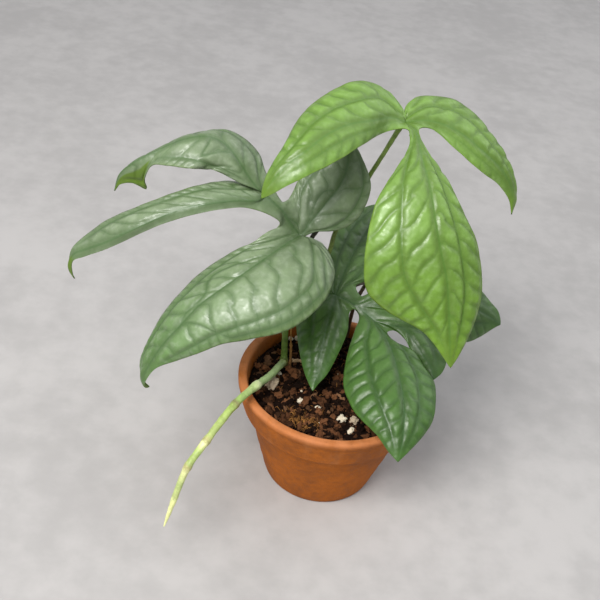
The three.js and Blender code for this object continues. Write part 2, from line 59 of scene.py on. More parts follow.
# Pot, in millimetres
RIM_RADIUS = 60.0
POT_HEIGHT = 78.5
BAND_FOOT = 57.0
BAND_FOOT_RADIUS = 56.0
BODY_TOP_RADIUS = 52.0
FOOT_RADIUS = 36.8
FOOT_ROUNDING = 2.2
LIP_WALL = 5.6
LIP_ROUNDING = 1.9
BODY_WALL = 4.8
FLOOR_THICKNESS = 7.0
DRAIN_RADIUS = 3.5
SOIL_LEVEL = 70.0
SOIL_RADIUS = 52.2

# Leaf lobes run counterclockwise, seen from above.
# A rib is a curve of points, with the direction of the lobe's left side at its base and tip.
# A margin point is (distance along the rib, distance out from it, drop below it).
# A notch is the point where the margin turns from one lobe to the next.
# A lobe's fans are the shares of its left and right margins that lie before its base.
# Its tips are the shares of its rib beyond which its left and right sides turn olive.
# Its fold is the share of its left side, out from the rib, beyond which the olive shows.
# Its reliefs say how deep the veins of its left and right sides lie.
# Its crowns say how far those sides bulge, as PLAIN_CROWNS does for lobes without any.
PLAIN_CROWNS = (0.07, 0.07)
YOUNG_LEAF = {
    "rachis": [(17, 43, 240)],
    "lobes": [
        {
            "at": 0, "fans": (0.1, 0.02), "tips": (0.9, 0.9), "reliefs": (0.9, 0.5),
            "rib": [(17, 43, 240), (30, 47, 241), (41, 48, 239), (52, 47, 235), (64, 45, 228),
                    (77, 46, 218), (87, 46, 205), (90, 41, 191)],
            "leftward": [(-0.35, 0.85, 0.4), (0.55, 0.8, 0.35)],
            "left": [(6, 14, 3), (12, 20, 4), (27, 27, 6), (38, 26, 6), (54, 20, 4), (66, 14, 3),
                     (79, 9, 2), (90, 7, 2)],
            "right": [(17, 4, 2), (39, 9, 4), (57, 9, 4), (74, 6, 3), (90, 2, 1)],
        },
        {
            "at": 0, "fans": (0.03, 0.14), "tips": (0.93, 0.93), "reliefs": (0.35, 0.9),
            "rib": [(17, 43, 240), (9, 40, 243), (-3, 25, 247), (-15, 15, 248), (-26, 4, 246),
                    (-36, -8, 241), (-46, -15, 233), (-53, -19, 223), (-56, -21, 216)],
            "leftward": [(0.15, -0.9, -0.45), (0.65, -0.7, -0.25)],
            "left": [(18, 7, 3), (39, 11, 5), (65, 13, 6), (82, 10, 5), (97, 7, 3), (107, 3, 2)],
            "right": [(4, 15, 4), (8, 27, 7), (17, 28, 8), (32, 29, 8), (46, 25, 7), (61, 20, 5),
                      (84, 13, 4), (100, 7, 2), (108, 3, 1)],
        },
        {
            "at": 0, "fans": (0.02, 0.02), "tips": (0.93, 0.95), "reliefs": (1, 0.9),
            "rib": [(17, 43, 240), (22, 37, 240), (27, 12, 236), (33, -7, 228), (38, -20, 216),
                    (43, -28, 204), (49, -34, 190), (53, -40, 175), (57, -47, 158),
                    (60, -52, 144)],
            "leftward": [(0.9, 0.4, 0.15), (0.95, 0, 0.25)],
            "left": [(26, 4, 2), (41, 10, 6), (56, 15, 9), (71, 19, 12), (91, 22, 14),
                     (115, 20, 13), (126, 17, 11), (139, 11, 7), (151, 4, 3)],
            "right": [(23, 5, 1), (38, 14, 1), (48, 23, 2), (61, 31, 3), (87, 41, 4),
                      (107, 43, 5), (121, 34, 4), (134, 15, 2), (141, 9, 1), (149, 4, 0)],
        },
    ],
    "notches": [(15, 48, 241), (18, 35, 240), (25, 37, 240)],
}
SAGE_LEAF = {
    "rachis": [(-33, 20, 168), (-47, 21, 184), (-56, 24, 190), (-61, 21, 195)],
    "lobes": [
        {
            "at": 0, "fans": (0.2, 0.06), "tips": (1.2, 1.2), "reliefs": (0.9, 0.9),
            "rib": [(-33, 20, 168), (-27, 24, 178), (-21, 29, 187), (-15, 34, 196),
                    (-12, 39, 205), (-12, 44, 213), (-14, 50, 219)],
            "leftward": [(-0.85, 0.25, 0.4), (-1, -0.05, 0)],
            "left": [(15, 19, 4), (24, 21, 5), (37, 23, 5), (55, 17, 3), (62, 8, 2)],
            "right": [(7, 5, 1), (15, 14, 3), (23, 19, 5), (33, 20, 5), (44, 17, 4), (56, 8, 2),
                      (63, 4, 1)],
        },
        {
            "at": 3, "fans": (0.1, 0.15), "tips": (0.66, 1.1), "fold": 0.32, "reliefs": (1, 0.7),
            "rib": [(-61, 21, 195), (-68, 23, 202), (-73, 25, 208), (-80, 29, 214),
                    (-87, 32, 217), (-94, 31, 219), (-104, 28, 218), (-114, 27, 213),
                    (-125, 25, 206), (-135, 24, 199), (-143, 24, 190), (-146, 24, 178)],
            "leftward": [(-0.6, -0.65, -0.45), (0.3, -0.9, -0.3)],
            "left": [(11, 6, 2), (23, 14, 3), (40, 18, 4), (57, 18, 5), (70, 13, 3), (80, 7, 2),
                     (92, 6, 10), (101, 5, 17), (105, 3, 8), (110, 1, 2)],
            "right": [(4, 12, 6), (18, 17, 9), (36, 14, 10), (56, 14, 14), (75, 12, 13),
                      (95, 8, 10), (108, 4, 5)],
        },
        {
            "at": 2, "fans": (0.12, 0.18), "tips": (0.885, 0.885), "reliefs": (0.5, 1),
            "rib": [(-56, 24, 190), (-60, 16, 191), (-73, 7, 194), (-87, 0, 194), (-104, -4, 189),
                    (-125, -10, 178), (-143, -11, 165), (-156, -9, 156), (-162, -9, 152),
                    (-165, -10, 146), (-165, -10, 141), (-162, -9, 134)],
            "leftward": [(0.8, -0.55, -0.25), (0.2, -0.85, -0.5)],
            "left": [(15, 3, 3), (40, 3, 3), (70, 3, 3), (107, 3, 2), (123, 3, 2), (133, 2, 1),
                     (145, 1, 1)],
            "right": [(11, 21, 6), (26, 19, 5), (50, 14, 4), (84, 14, 4), (106, 15, 4),
                      (120, 11, 3), (130, 5, 1), (142, 2, 0)],
        },
        {
            "at": 0, "fans": (0.2, 0.1), "tips": (0.95, 0.95), "crowns": (0.15, 0.07),
            "reliefs": (0.9, 1.15),
            "rib": [(-33, 20, 168), (-38, 13, 168), (-48, 1, 165), (-59, -10, 160),
                    (-72, -20, 152), (-85, -28, 142), (-93, -34, 132), (-102, -39, 120),
                    (-109, -43, 106), (-113, -46, 95), (-111, -46, 90), (-109, -43, 88)],
            "leftward": [(0.75, -0.55, -0.35), (0.8, -0.5, -0.25)],
            "left": [(-5, 6, 0), (-9, 12, 1), (-7, 21, 1), (-1, 30, 2), (10, 37, 3), (21, 41, 3),
                     (43, 42, 3), (64, 33, 2), (84, 25, 2), (95, 19, 1), (110, 12, 1),
                     (124, 4, 0), (138, 2, 0)],
            "right": [(11, 11, -2), (17, 13, 0), (26, 14, 4), (34, 17, 8), (46, 19, 11),
                      (68, 20, 15), (82, 18, 14), (99, 17, 13), (115, 14, 12), (130, 9, 7),
                      (139, 4, 3)],
        },
    ],
    "notches": [(-45, 27, 184), (-67, 24, 196), (-46, 16, 178), (-31, 20, 167)],
}
LOW_LEAF = {
    "rachis": [(-6, 33, 118), (8, 26, 117), (20, 19, 113)],
    "lobes": [
        {
            "at": 0, "fans": (0.08, 0.08), "tips": (1.1, 1.1), "reliefs": (0.8, 0.8),
            "rib": [(-6, 33, 118), (-2, 48, 126), (3, 63, 134), (9, 79, 140), (16, 94, 144),
                    (20, 108, 145)],
            "leftward": [(-0.95, 0.25, 0), (-0.9, 0.4, 0)],
            "left": [(6, 9, 1), (19, 13, 2), (32, 16, 2), (47, 18, 2), (60, 16, 2), (76, 10, 1)],
            "right": [(11, 10, 1), (21, 18, 2), (37, 22, 3), (59, 20, 3), (74, 11, 2)],
        },
        {
            "at": 0, "fans": (0.05, 0.18), "tips": (0.93, 0.93), "reliefs": (0.5, 0.5),
            "rib": [(-6, 33, 118), (-7, 22, 114), (-9, 12, 106), (-10, 0, 97), (-11, -11, 89),
                    (-12, -21, 83)],
            "leftward": [(1, -0.1, 0.05), (1, -0.1, 0)],
            "left": [(9, 11, 3), (22, 13, 3), (39, 10, 3), (53, 6, 1), (60, 2, 1)],
            "right": [(-4, 12, 4), (3, 20, 7), (20, 22, 7), (26, 19, 6), (40, 14, 4), (53, 8, 3),
                      (61, 3, 1)],
        },
        {
            "at": 2, "fans": (0.03, 0.17), "tips": (0.93, 0.93), "crowns": (0.07, 0.1),
            "reliefs": (0.9, 1.1),
            "rib": [(20, 19, 113), (27, 9, 111), (33, -5, 109), (38, -22, 105), (42, -41, 100),
                    (43, -57, 90), (42, -67, 80)],
            "leftward": [(0.8, 0.55, 0.3), (1, 0, 0)],
            "left": [(23, 7, 3), (26, 14, 6), (37, 18, 7), (46, 22, 9), (56, 21, 8), (71, 18, 7),
                     (82, 12, 5), (92, 5, 2)],
            "right": [(-6, 6, 1), (0, 14, 3), (15, 26, 6), (43, 33, 7), (58, 31, 7), (72, 27, 6),
                      (85, 15, 3), (94, 7, 1)],
        },
        {
            "at": 2, "fans": (0.03, 0.03), "tips": (1.1, 1.1), "reliefs": (0.8, 0.5),
            "rib": [(20, 19, 113), (29, 16, 114), (39, 15, 113), (45, 8, 111), (51, 2, 107),
                    (58, -3, 101), (61, -8, 95)],
            "leftward": [(0.3, 0.9, 0.35), (0.7, 0.6, 0.35)],
            "left": [(27, 14, 2), (37, 18, 3), (47, 16, 3), (50, 12, 2), (54, 7, 1)],
            "right": [(15, 2, 2), (27, 3, 2), (36, 4, 3), (44, 4, 3), (54, 2, 1)],
        },
        {
            "at": 1, "fans": (0.06, 0.03), "tips": (1.1, 1.1), "reliefs": (0.8, 0.8),
            "rib": [(8, 26, 117), (26, 28, 121), (45, 33, 122), (64, 38, 120), (88, 45, 113),
                    (98, 47, 107), (105, 48, 102)],
            "leftward": [(-0.2, 0.85, 0.5), (0.05, 0.8, 0.55)],
            "left": [(21, 15, 3), (41, 23, 4), (61, 23, 4), (77, 20, 3), (87, 15, 3), (93, 11, 2),
                     (100, 8, 1), (104, 4, 1)],
            "right": [(40, 13, 6), (50, 17, 8), (64, 22, 10), (87, 19, 9), (95, 13, 6),
                      (102, 3, 1)],
        },
    ],
    "notches": [(-12, 38, 118), (7, 24, 116), (29, 13, 110), (40, 24, 118), (11, 34, 119)],
}

# How the veins of each leaf run. Spacings and height are in millimetres, leans are shares of the
# distance out from the rib, and lateral is the share of the breadth at which a side's own long
# vein runs. Where second is 1, a broad side has another long vein near its margin.
YOUNG_VEINS = {
    "spacing": 14.0, "outer_spacing": 11.0, "lean": 0.75, "outer_lean": 0.55, "bend": 0.0,
    "height": 1.5, "seed": 3, "lateral": 0.5, "second": 0.0, "tip_blur": 0.1,
}
SAGE_VEINS = {
    "spacing": 15.5, "outer_spacing": 7.0, "lean": 0.1, "outer_lean": 0.35, "bend": 0.55,
    "height": 1.15, "seed": 8, "lateral": 0.74, "second": 1.0, "tip_blur": 0.015,
}
LOW_VEINS = {
    "spacing": 11.5, "outer_spacing": 9.0, "lean": 0.5, "outer_lean": 0.3, "bend": 0.1,
    "height": 1.4, "seed": 5, "lateral": 0.5, "second": 0.0, "tip_blur": 0.05,
}

# Each stalk's path is a list of points, and its radii are (share of its length, radius).
# Its colours are (share of its length, colour), and a colour given as a word is a setting.
# Sides, uneven and mottle stand where its sides, its rough skin or its mottling are unusual.
STALKS = [
    {
        "piece": "upright_stem", "node": "main_stem", "slot": "stem_green",
        "path": [(-32.3, 14.2, 44), (-32.3, 14.2, 64), (-32.4, 14.6, 72), (-33.4, 17.2, 84),
                 (-34.6, 20, 98)],
        "radii": [(0, 2), (0.36, 2.1), (0.46, 3.0), (0.54, 2.8), (0.61, 2.1), (1, 1.9)],
        "material": "Upright stem", "roughness": 0.42,
        "colours": [(0, (0.12, 0.08, 0.03)), (0.42, (0.16, 0.11, 0.03)),
                    (0.52, (0.2, 0.2, 0.05)), (0.6, "stem"), (1, "stem")],
    },
    {
        "piece": "creeping_runner", "node": "runner", "slot": "runner_green", "sides": 28,
        "path": [(-32.4, 13.4, 73.5), (-40, -10, 80), (-47, -26, 85), (-57, -45, 86),
                 (-70, -71, 78), (-78, -82, 67), (-82, -88, 54), (-85, -92, 41), (-88, -96, 28)],
        "radii": [(0, 2.6), (0.04, 2.3), (0.25, 2.3), (0.268, 3.05), (0.29, 2.85), (0.305, 2.35),
                  (0.4, 2.3), (0.42, 2.85), (0.445, 2.35), (0.585, 2.2), (0.61, 2.75),
                  (0.635, 2.25), (0.7, 2.15), (0.725, 2.6), (0.75, 2.1), (0.84, 1.9),
                  (0.86, 2.05), (0.88, 1.75), (0.95, 1.2), (1, 0.35)],
        "material": "Runner", "roughness": 0.4, "mottle": 0.35,
        "colours": [(0, (0.36, 0.44, 0.16)), (0.06, "runner"), (0.25, "runner"),
                    (0.27, (0.56, 0.62, 0.34)), (0.305, (0.4, 0.52, 0.2)),
                    (0.4, (0.3, 0.44, 0.12)), (0.42, (0.26, 0.24, 0.1)),
                    (0.44, (0.34, 0.46, 0.12)), (0.585, (0.45, 0.55, 0.18)),
                    (0.61, (0.42, 0.4, 0.16)), (0.625, (0.72, 0.74, 0.34)),
                    (0.66, (0.38, 0.5, 0.14)), (0.71, (0.4, 0.5, 0.16)),
                    (0.728, (0.45, 0.42, 0.18)), (0.748, (0.72, 0.74, 0.34)),
                    (0.8, (0.45, 0.55, 0.2)), (0.855, (0.5, 0.56, 0.22)), (0.88, "tip"),
                    (1, "tip")],
    },
    {
        "piece": "sheath_strand", "node": "dry_sheath", "slot": "dry_tissue", "uneven": 0.9,
        "path": [(-28.2, 14.4, 69), (-28.6, 15.6, 78), (-30, 18, 90), (-30.8, 19, 97)],
        "radii": [(0, 1), (0.2, 0.9), (0.35, 0.6), (0.5, 0.8), (0.7, 0.5), (1, 0.3)],
        "material": "Dry sheath", "roughness": 0.8,
        "colours": [(0, (0.24, 0.12, 0.04)), (1, (0.5, 0.24, 0.06))],
    },
    {
        "piece": "pale_root", "node": "surface_root", "slot": "root_tan", "uneven": 0.4,
        "path": [(-29.3, 16.4, 72.2), (-24, 17.6, 72), (-18, 18.8, 70.8), (-12, 19.6, 66)],
        "radii": [(0, 1.3), (0.6, 1.1), (1, 0.8)],
        "material": "Pale root", "roughness": 0.75,
        "colours": [(0, (0.45, 0.3, 0.16)), (1, (0.35, 0.22, 0.12))],
    },
    {
        "piece": "young_petiole", "node": "young_leaf_stalk", "slot": "stem_green",
        "path": [(-34.9, 20.4, 98.8), (-33.6, 23.4, 104), (-28.8, 30, 114), (-20.6, 37, 130),
                 (-14, 43, 144), (-12, 47, 157), (-4, 51, 175), (3, 52, 197), (9, 50, 215),
                 (14, 46.5, 232), (16.5, 43.6, 239.2)],
        "radii": [(0, 1.9), (0.12, 1.5), (0.86, 1.35), (0.95, 1.65), (1, 1.3)],
        "material": "Young stalk", "roughness": 0.4,
        "colours": [(0, (0.1, 0.13, 0.03)), (0.5, (0.12, 0.17, 0.03)), (1, (0.22, 0.33, 0.06))],
    },
    {
        "piece": "sage_petiole", "node": "sage_leaf_stalk", "slot": "dark_stalk",
        "path": [(-34.6, 20.2, 89), (-37.2, 27.4, 104), (-33.6, 30.8, 126), (-29, 32.6, 150),
                 (-25, 34.5, 161), (-22.5, 35.5, 166.5), (-25, 32, 168), (-30, 27, 167),
                 (-33.2, 21.5, 166.7)],
        "radii": [(0, 1.6), (0.15, 1.45), (0.75, 1.4), (0.86, 1.75), (1, 1.3)],
        "material": "Sage stalk", "roughness": 0.4,
        "colours": [(0, (0.07, 0.09, 0.03)), (0.4, (0.035, 0.035, 0.02)), (1, (0.03, 0.03, 0.02))],
    },
    {
        "piece": "low_petiole", "node": "low_leaf_stalk", "slot": "dark_stalk",
        "path": [(1, 42, 50), (5, 47.5, 62), (7, 50, 72), (7.4, 51.5, 83), (8.4, 53, 96),
                 (11, 55, 106), (13, 56, 112), (12, 53, 116.5), (6, 46, 118.5), (-1, 38, 117.5),
                 (-5.6, 33.8, 116.9)],
        "radii": [(0, 1.6), (0.2, 1.35), (0.66, 1.25), (0.84, 1.65), (1, 1.25)],
        "material": "Low stalk", "roughness": 0.45,
        "colours": [(0, (0.09, 0.06, 0.03)), (0.5, (0.1, 0.05, 0.025)), (1, (0.07, 0.08, 0.03))],
    },
]

# Perlite, bark and pale chunks seen on the soil: x, y, half length, half width, turn in degrees.
# The middle of the clump of fibres: x, y.
PERLITE = [
    (-18.6, -17.8, 2.1, 1.8, 80), (-7.1, -23, 2.2, 1.4, 20), (13.2, -15.6, 1.6, 1.2, 60),
    (8.2, -29.7, 2.9, 2.5, 15), (14.7, -37.5, 2.8, 1.7, 60), (-1.3, -23.7, 0.8, 0.7, 0),
    (-30.4, 40.6, 1.8, 1.5, 10), (-26.2, 42, 1.9, 1.5, 80), (-34.3, 4, 1.8, 1.4, 30),
]
BARK = [
    (-43.5, 18, 4.4, 2.6, 110), (-46, 3, 4.4, 2.4, 70), (3.2, 2.7, 4.2, 2.6, 35),
    (6.6, -9.1, 4.2, 2, 150), (-23.7, 4, 4, 2, 15), (30, 14, 4.4, 2, 120),
    (0, 36, 4.8, 2.2, 20), (-20, 38, 4.6, 2.3, 140), (1, -19.9, 4.2, 2.2, 95),
    (40, -14, 4.2, 2.2, 30), (-42.9, 13, 3.4, 2.2, 40), (-12.9, -22.8, 3.2, 2, 120),
]
PALE_CHUNKS = [(-37.7, -7.2, 5.2, 3.6, 60), (15.6, -30, 2.7, 2.4, 40), (5.5, 9.9, 2.6, 0.9, 150)]
FIBRE_CLUMP = (-15.2, -34)


class PotSettings(bpy.types.PropertyGroup):
    clay: FloatVectorProperty(
        name="Clay", description="Colour of the fired clay", subtype="COLOR", size=3,
        min=0, max=1, default=(0.37, 0.103, 0.01))
    lip_clay: FloatVectorProperty(
        name="Lip clay", description="Colour of the clay on the lip and on dry patches",
        subtype="COLOR", size=3, min=0, max=1, default=(0.56, 0.21, 0.08))
    lime: FloatVectorProperty(
        name="Lime bloom", description="Colour of the faint bloom below the lip",
        subtype="COLOR", size=3, min=0, max=1, default=(0.5, 0.22, 0.09))


class SoilSettings(bpy.types.PropertyGroup):
    peat: FloatVectorProperty(
        name="Peat", description="Darkest colour of the soil", subtype="COLOR", size=3,
        min=0, max=1, default=(0.0075, 0.003, 0.0015))
    crumb: FloatVectorProperty(
        name="Crumb", description="Colour of the lighter crumbs", subtype="COLOR", size=3,
        min=0, max=1, default=(0.17, 0.07, 0.03))
    crumbs: IntProperty(
        name="Crumbs", description="Number of loose crumbs on the soil", default=1700,
        min=0, max=3000)


class StemSettings(bpy.types.PropertyGroup):
    stem: FloatVectorProperty(
        name="Stem", description="Colour of the upright stem", subtype="COLOR", size=3,
        min=0, max=1, default=(0.16, 0.27, 0.05))
    runner: FloatVectorProperty(
        name="Runner", description="Colour of the runner near the pot", subtype="COLOR",
        size=3, min=0, max=1, default=(0.34, 0.47, 0.19))
    tip: FloatVectorProperty(
        name="Runner tip", description="Colour of the runner's growing tip", subtype="COLOR",
        size=3, min=0, max=1, default=(0.8, 0.83, 0.36))


class LeafSettings(bpy.types.PropertyGroup):
    thickness: FloatProperty(
        name="Thickness", description="Thickness of a leaf blade", unit="LENGTH",
        default=0.0007, min=0.0003, max=0.0011)
    young: FloatVectorProperty(
        name="Young leaf", description="Colour of the young lime leaf", subtype="COLOR",
        size=3, min=0, max=1, default=(0.138, 0.258, 0.038))
    sage: FloatVectorProperty(
        name="Sage leaf", description="Colour of the silvery leaf", subtype="COLOR", size=3,
        min=0, max=1, default=(0.165, 0.225, 0.12))
    low: FloatVectorProperty(
        name="Low leaf", description="Colour of the low green leaf", subtype="COLOR", size=3,
        min=0, max=1, default=(0.07, 0.145, 0.03))


class StageSettings(bpy.types.PropertyGroup):
    floor: FloatVectorProperty(
        name="Floor", description="Colour of the plain floor", subtype="COLOR", size=3,
        min=0, max=1, default=(0.42, 0.405, 0.395))
    key_power: FloatProperty(
        name="Key light", description="Power of the large overhead light, in watts",
        default=22.5, min=0)
    fill_power: FloatProperty(
        name="Fill light", description="Power of the wide side light, in watts",
        default=9, min=0)


# Curves

class SmoothCurve:
    """A centripetal Catmull-Rom curve through points, read by share of its length."""

    PIECES = 40

    def __init__(self, points):
        knots = np.array(points, dtype=float)
        ends = np.vstack([2 * knots[0] - knots[1], knots, 2 * knots[-1] - knots[-2]])
        steps = np.linspace(0, 1, self.PIECES, endpoint=False)[:, None]
        samples = []
        for i in range(len(knots) - 1):
            before, first, second, after = ends[i:i + 4]
            gaps = [np.sqrt(np.linalg.norm(b - a))
                    for a, b in ((before, first), (first, second), (second, after))]
            start = (first - before) / gaps[0] - (second - before) / (gaps[0] + gaps[1])
            start = (start + (second - first) / gaps[1]) * gaps[1]
            finish = (second - first) / gaps[1] - (after - first) / (gaps[1] + gaps[2])
            finish = (finish + (after - second) / gaps[2]) * gaps[1]
            square = 3 * (second - first) - 2 * start - finish
            cube = 2 * (first - second) + start + finish
            samples.append(first + start * steps + square * steps ** 2 + cube * steps ** 3)
        samples.append(knots[-1:])
        self.samples = np.vstack(samples)
        strides = np.linalg.norm(np.diff(self.samples, axis=0), axis=1)
        self.distances = np.concatenate([[0], np.cumsum(strides)])
        self.length = self.distances[-1]

    def points(self, shares):
        reach = np.asarray(shares) * self.length
        return np.stack([np.interp(reach, self.distances, axis) for axis in self.samples.T], -1)

    def tangents(self, shares):
        step = 0.004
        ahead = self.points(np.clip(np.asarray(shares) + step, 0, 1))
        behind = self.points(np.clip(np.asarray(shares) - step, 0, 1))
        return unit(ahead - behind)

    def share_of_knot(self, knot):
        return self.distances[knot * self.PIECES] / self.length


def unit(rows):
    return rows / np.linalg.norm(rows, axis=-1, keepdims=True)


def smooth(low, high, value):
    """A soft step from 0 at low to 1 at high."""
    share = np.clip((value - low) / (high - low), 0, 1)
    return share * share * (3 - 2 * share)


def hollow(distance, width):
    """0 on a line and close to 1 a width or two away from it."""
    return 1 - np.exp(-(distance / width) ** 2)


def new_piece(name, sheet, materials, node):
    """Turns a bmesh in millimetres into a smooth-shaded piece of the plant, in metres."""
    bmesh.ops.scale(sheet, vec=(MM, MM, MM), verts=sheet.verts)
    for face in sheet.faces:
        face.smooth = True
    mesh = bpy.data.meshes.new(name)
    sheet.to_mesh(mesh)
    sheet.free()
    for material in materials:
        mesh.materials.append(material)
    piece = bpy.data.objects.new(name, mesh)
    bpy.context.collection.objects.link(piece)
    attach(piece, "root")
    if node:
        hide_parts(node)
    return piece


# Shader nodes

def fill_inputs(tree, node, inputs):
    """Sets a node's inputs to plain values, or links them to the outputs of other nodes."""
    for name, value in inputs.items():
        socket = node.inputs[name]
        if isinstance(value, bpy.types.NodeSocket):
            tree.links.new(value, socket)
        else:
            socket.default_value = value


def add_node(tree, kind, inputs=None, **settings):
    node = tree.nodes.new(kind)
    for name, value in settings.items():
        setattr(node, name, value)
    fill_inputs(tree, node, inputs or {})
    return node


def calculate(tree, operation, *values):
    return add_node(
        tree, "ShaderNodeMath", dict(enumerate(values)), operation=operation,
    ).outputs[0]


def multiply(tree, first, second):
    return calculate(tree, "MULTIPLY", first, second)


def remap(tree, value, low, high, to_low=0.0, to_high=1.0):
    """A soft step of a shader value."""
    return add_node(
        tree, "ShaderNodeMapRange",
        {"Value": value, "From Min": low, "From Max": high, "To Min": to_low, "To Max": to_high},
        interpolation_type="SMOOTHSTEP",
    ).outputs["Result"]


def blend(tree, factor, first, second, mode="MIX"):
    """Mixes two colours."""
    return add_node(
        tree, "ShaderNodeMix", {0: factor, 6: first, 7: second}, data_type="RGBA",
        blend_type=mode,
    ).outputs[2]


def tinted(tree, colour, *layers):
    """Lays tints over a colour, each a layer of (mask, share, tint)."""
    for mask, share, tint in layers:
        colour = blend(tree, multiply(tree, mask, share), colour, tint)
    return colour


def rgba(colour, scale=1.0):
    return (colour[0] * scale, colour[1] * scale, colour[2] * scale, 1.0)


def object_place(tree):
    return add_node(tree, "ShaderNodeTexCoord").outputs["Object"]


def stretched(tree, place, scale):
    """A place scaled by axis, on which a texture runs in streaks."""
    return add_node(
        tree, "ShaderNodeMapping", {"Vector": place, "Scale": scale},
    ).outputs["Vector"]


def split(tree, vector):
    return add_node(tree, "ShaderNodeSeparateXYZ", {"Vector": vector}).outputs


def mesh_value(tree, name, output="Fac"):
    """A value that the mesh holds at each of its points."""
    return add_node(tree, "ShaderNodeAttribute", attribute_name=name).outputs[output]


def noise_value(tree, place, scale, detail=3.0, roughness=0.55):
    return add_node(
        tree, "ShaderNodeTexNoise",
        {"Vector": place, "Scale": scale, "Detail": detail, "Roughness": roughness},
    ).outputs["Fac"]


def bump_normal(tree, height, distance):
    return add_node(
        tree, "ShaderNodeBump", {"Height": height, "Distance": distance, "Strength": 1.0},
    ).outputs["Normal"]


def new_group(name, inputs, outputs):
    """A new shader node group with inputs of named kinds, and outputs that are plain values."""
    tree = bpy.data.node_groups.new(name, "ShaderNodeTree")
    for label, kind in inputs.items():
        tree.interface.new_socket(label, in_out="INPUT", socket_type=kind)
    for label in outputs:
        tree.interface.new_socket(label, in_out="OUTPUT", socket_type="NodeSocketFloat")
    entry = tree.nodes.new("NodeGroupInput")
    leave = tree.nodes.new("NodeGroupOutput")
    return tree, entry.outputs, leave


def place_group(tree, group, inputs):
    """Places a node group in a material with its own values."""
    return add_node(tree, "ShaderNodeGroup", inputs, node_tree=group).outputs


def blotch_group():
    """Two sizes of soft blotches, as one value around 0.5."""
    name = "Soft blotches"
    if name in bpy.data.node_groups:
        return bpy.data.node_groups[name]
    kinds = {"Place": "NodeSocketVector", "Large": "NodeSocketFloat", "Small": "NodeSocketFloat"}
    tree, entry, leave = new_group(name, kinds, ["Mask"])
    large = noise_value(tree, entry["Place"], entry["Large"])
    small = noise_value(tree, entry["Place"], entry["Small"])
    total = calculate(tree, "ADD", multiply(tree, large, 0.6), multiply(tree, small, 0.4))
    fill_inputs(tree, leave, {"Mask": remap(tree, total, 0.36, 0.64)})
    return tree


def blotch_mask(tree, place, large, small):
    inputs = {"Place": place, "Large": large, "Small": small}
    return place_group(tree, blotch_group(), inputs)["Mask"]


def vein_group():
    """Masks of the veins of a blade, read from what its mesh knows of its own veins."""
    name = "Leaf veins"
    if name in bpy.data.node_groups:
        return bpy.data.node_groups[name]
    tree, entry, leave = new_group(
        name, {"Width": "NodeSocketFloat"}, ["Midrib", "Veins", "Tip", "Edge"])
    distance, phase, place = (
        split(tree, mesh_value(tree, label, "Vector"))
        for label in ("vein_distance", "vein_phase", "leaf_place"))

    def line(value, share=1.0):
        away = calculate(tree, "DIVIDE", calculate(tree, "ABSOLUTE", value), entry["Width"])
        return remap(tree, away, 1.6 * share, 0.3 * share)

    def crossing(value, spacing):
        shifted = calculate(tree, "ADD", value, 0.5)
        near = calculate(tree, "SUBTRACT", calculate(tree, "FRACT", shifted), 0.5)
        return line(multiply(tree, near, spacing), 0.8)

    lateral = distance["Y"]
    outside = remap(tree, lateral, -0.2, 0.2)
    inner = crossing(phase["X"], 11.0)
    outer = crossing(phase["Y"], 9.0)
    cross = add_node(tree, "ShaderNodeMix", {0: outside, 2: inner, 3: outer}).outputs[0]
    cross = multiply(tree, cross, multiply(tree, place["Z"], 0.75))
    cross = multiply(tree, cross, phase["Z"])
    laterals = calculate(tree, "MAXIMUM", line(lateral), line(distance["Z"]))
    laterals = multiply(tree, laterals, phase["Z"])
    fill_inputs(tree, leave, {
        "Midrib": line(distance["X"], 1.5),
        "Veins": calculate(tree, "MAXIMUM", laterals, cross),
        "Tip": place["Y"],
        "Edge": remap(tree, place["X"], 0.9, 1.0),
    })
    return tree


def new_material(name, roughness, specular=0.5):
    material = bpy.data.materials.new(name)
    material.use_nodes = True
    tree = material.node_tree
    shader = tree.nodes["Principled BSDF"]
    fill_inputs(tree, shader, {"Roughness": roughness, "Specular IOR Level": specular})
    return material, tree, shader


def clay_material(settings):
    """Fired clay with streaks of bloom below its lip, lighter patches on top of its lip and fine
    turning grooves.
    """
    material, tree, shader = new_material("Terracotta", 0.78, 0.25)
    place = object_place(tree)
    height = split(tree, place)["Z"]
    blotch = blotch_mask(tree, place, 30.0, 220.0)
    streaks = stretched(tree, place, (1, 1, 0.12))
    bloom = remap(tree, noise_value(tree, streaks, 70.0, 5.0), 0.5, 0.75)
    band = multiply(tree, remap(tree, height, 0.045, 0.06), bloom)
    patches = remap(tree, noise_value(tree, place, 60.0), 0.2, 0.6)
    # The top of the lip is lighter in patches.
    lip_patches = multiply(tree, remap(tree, height, 0.0735, 0.078), patches)
    specks = remap(tree, noise_value(tree, place, 900.0, 2.0), 0.66, 0.74)
    clay = blend(tree, blotch, rgba(settings.clay, 0.72), rgba(settings.clay, 1.14))
    colour = tinted(
        tree, clay, (band, 0.3, rgba(settings.lime)), (lip_patches, 0.75, rgba(settings.lip_clay)),
        (specks, 0.35, rgba(settings.clay, 0.4)))
    grain = noise_value(tree, place, 1200.0, 4.0, 0.7)
    grooves = noise_value(tree, stretched(tree, place, (0.05, 0.05, 1.0)), 420.0, 2.0)
    relief = calculate(tree, "ADD", grain, multiply(tree, grooves, 0.8))
    fill_inputs(tree, shader, {
        "Base Color": colour,
        "Roughness": remap(tree, blotch, 0.0, 1.0, 0.68, 0.88),
        "Normal": bump_normal(tree, relief, 0.00035),
    })
    return material


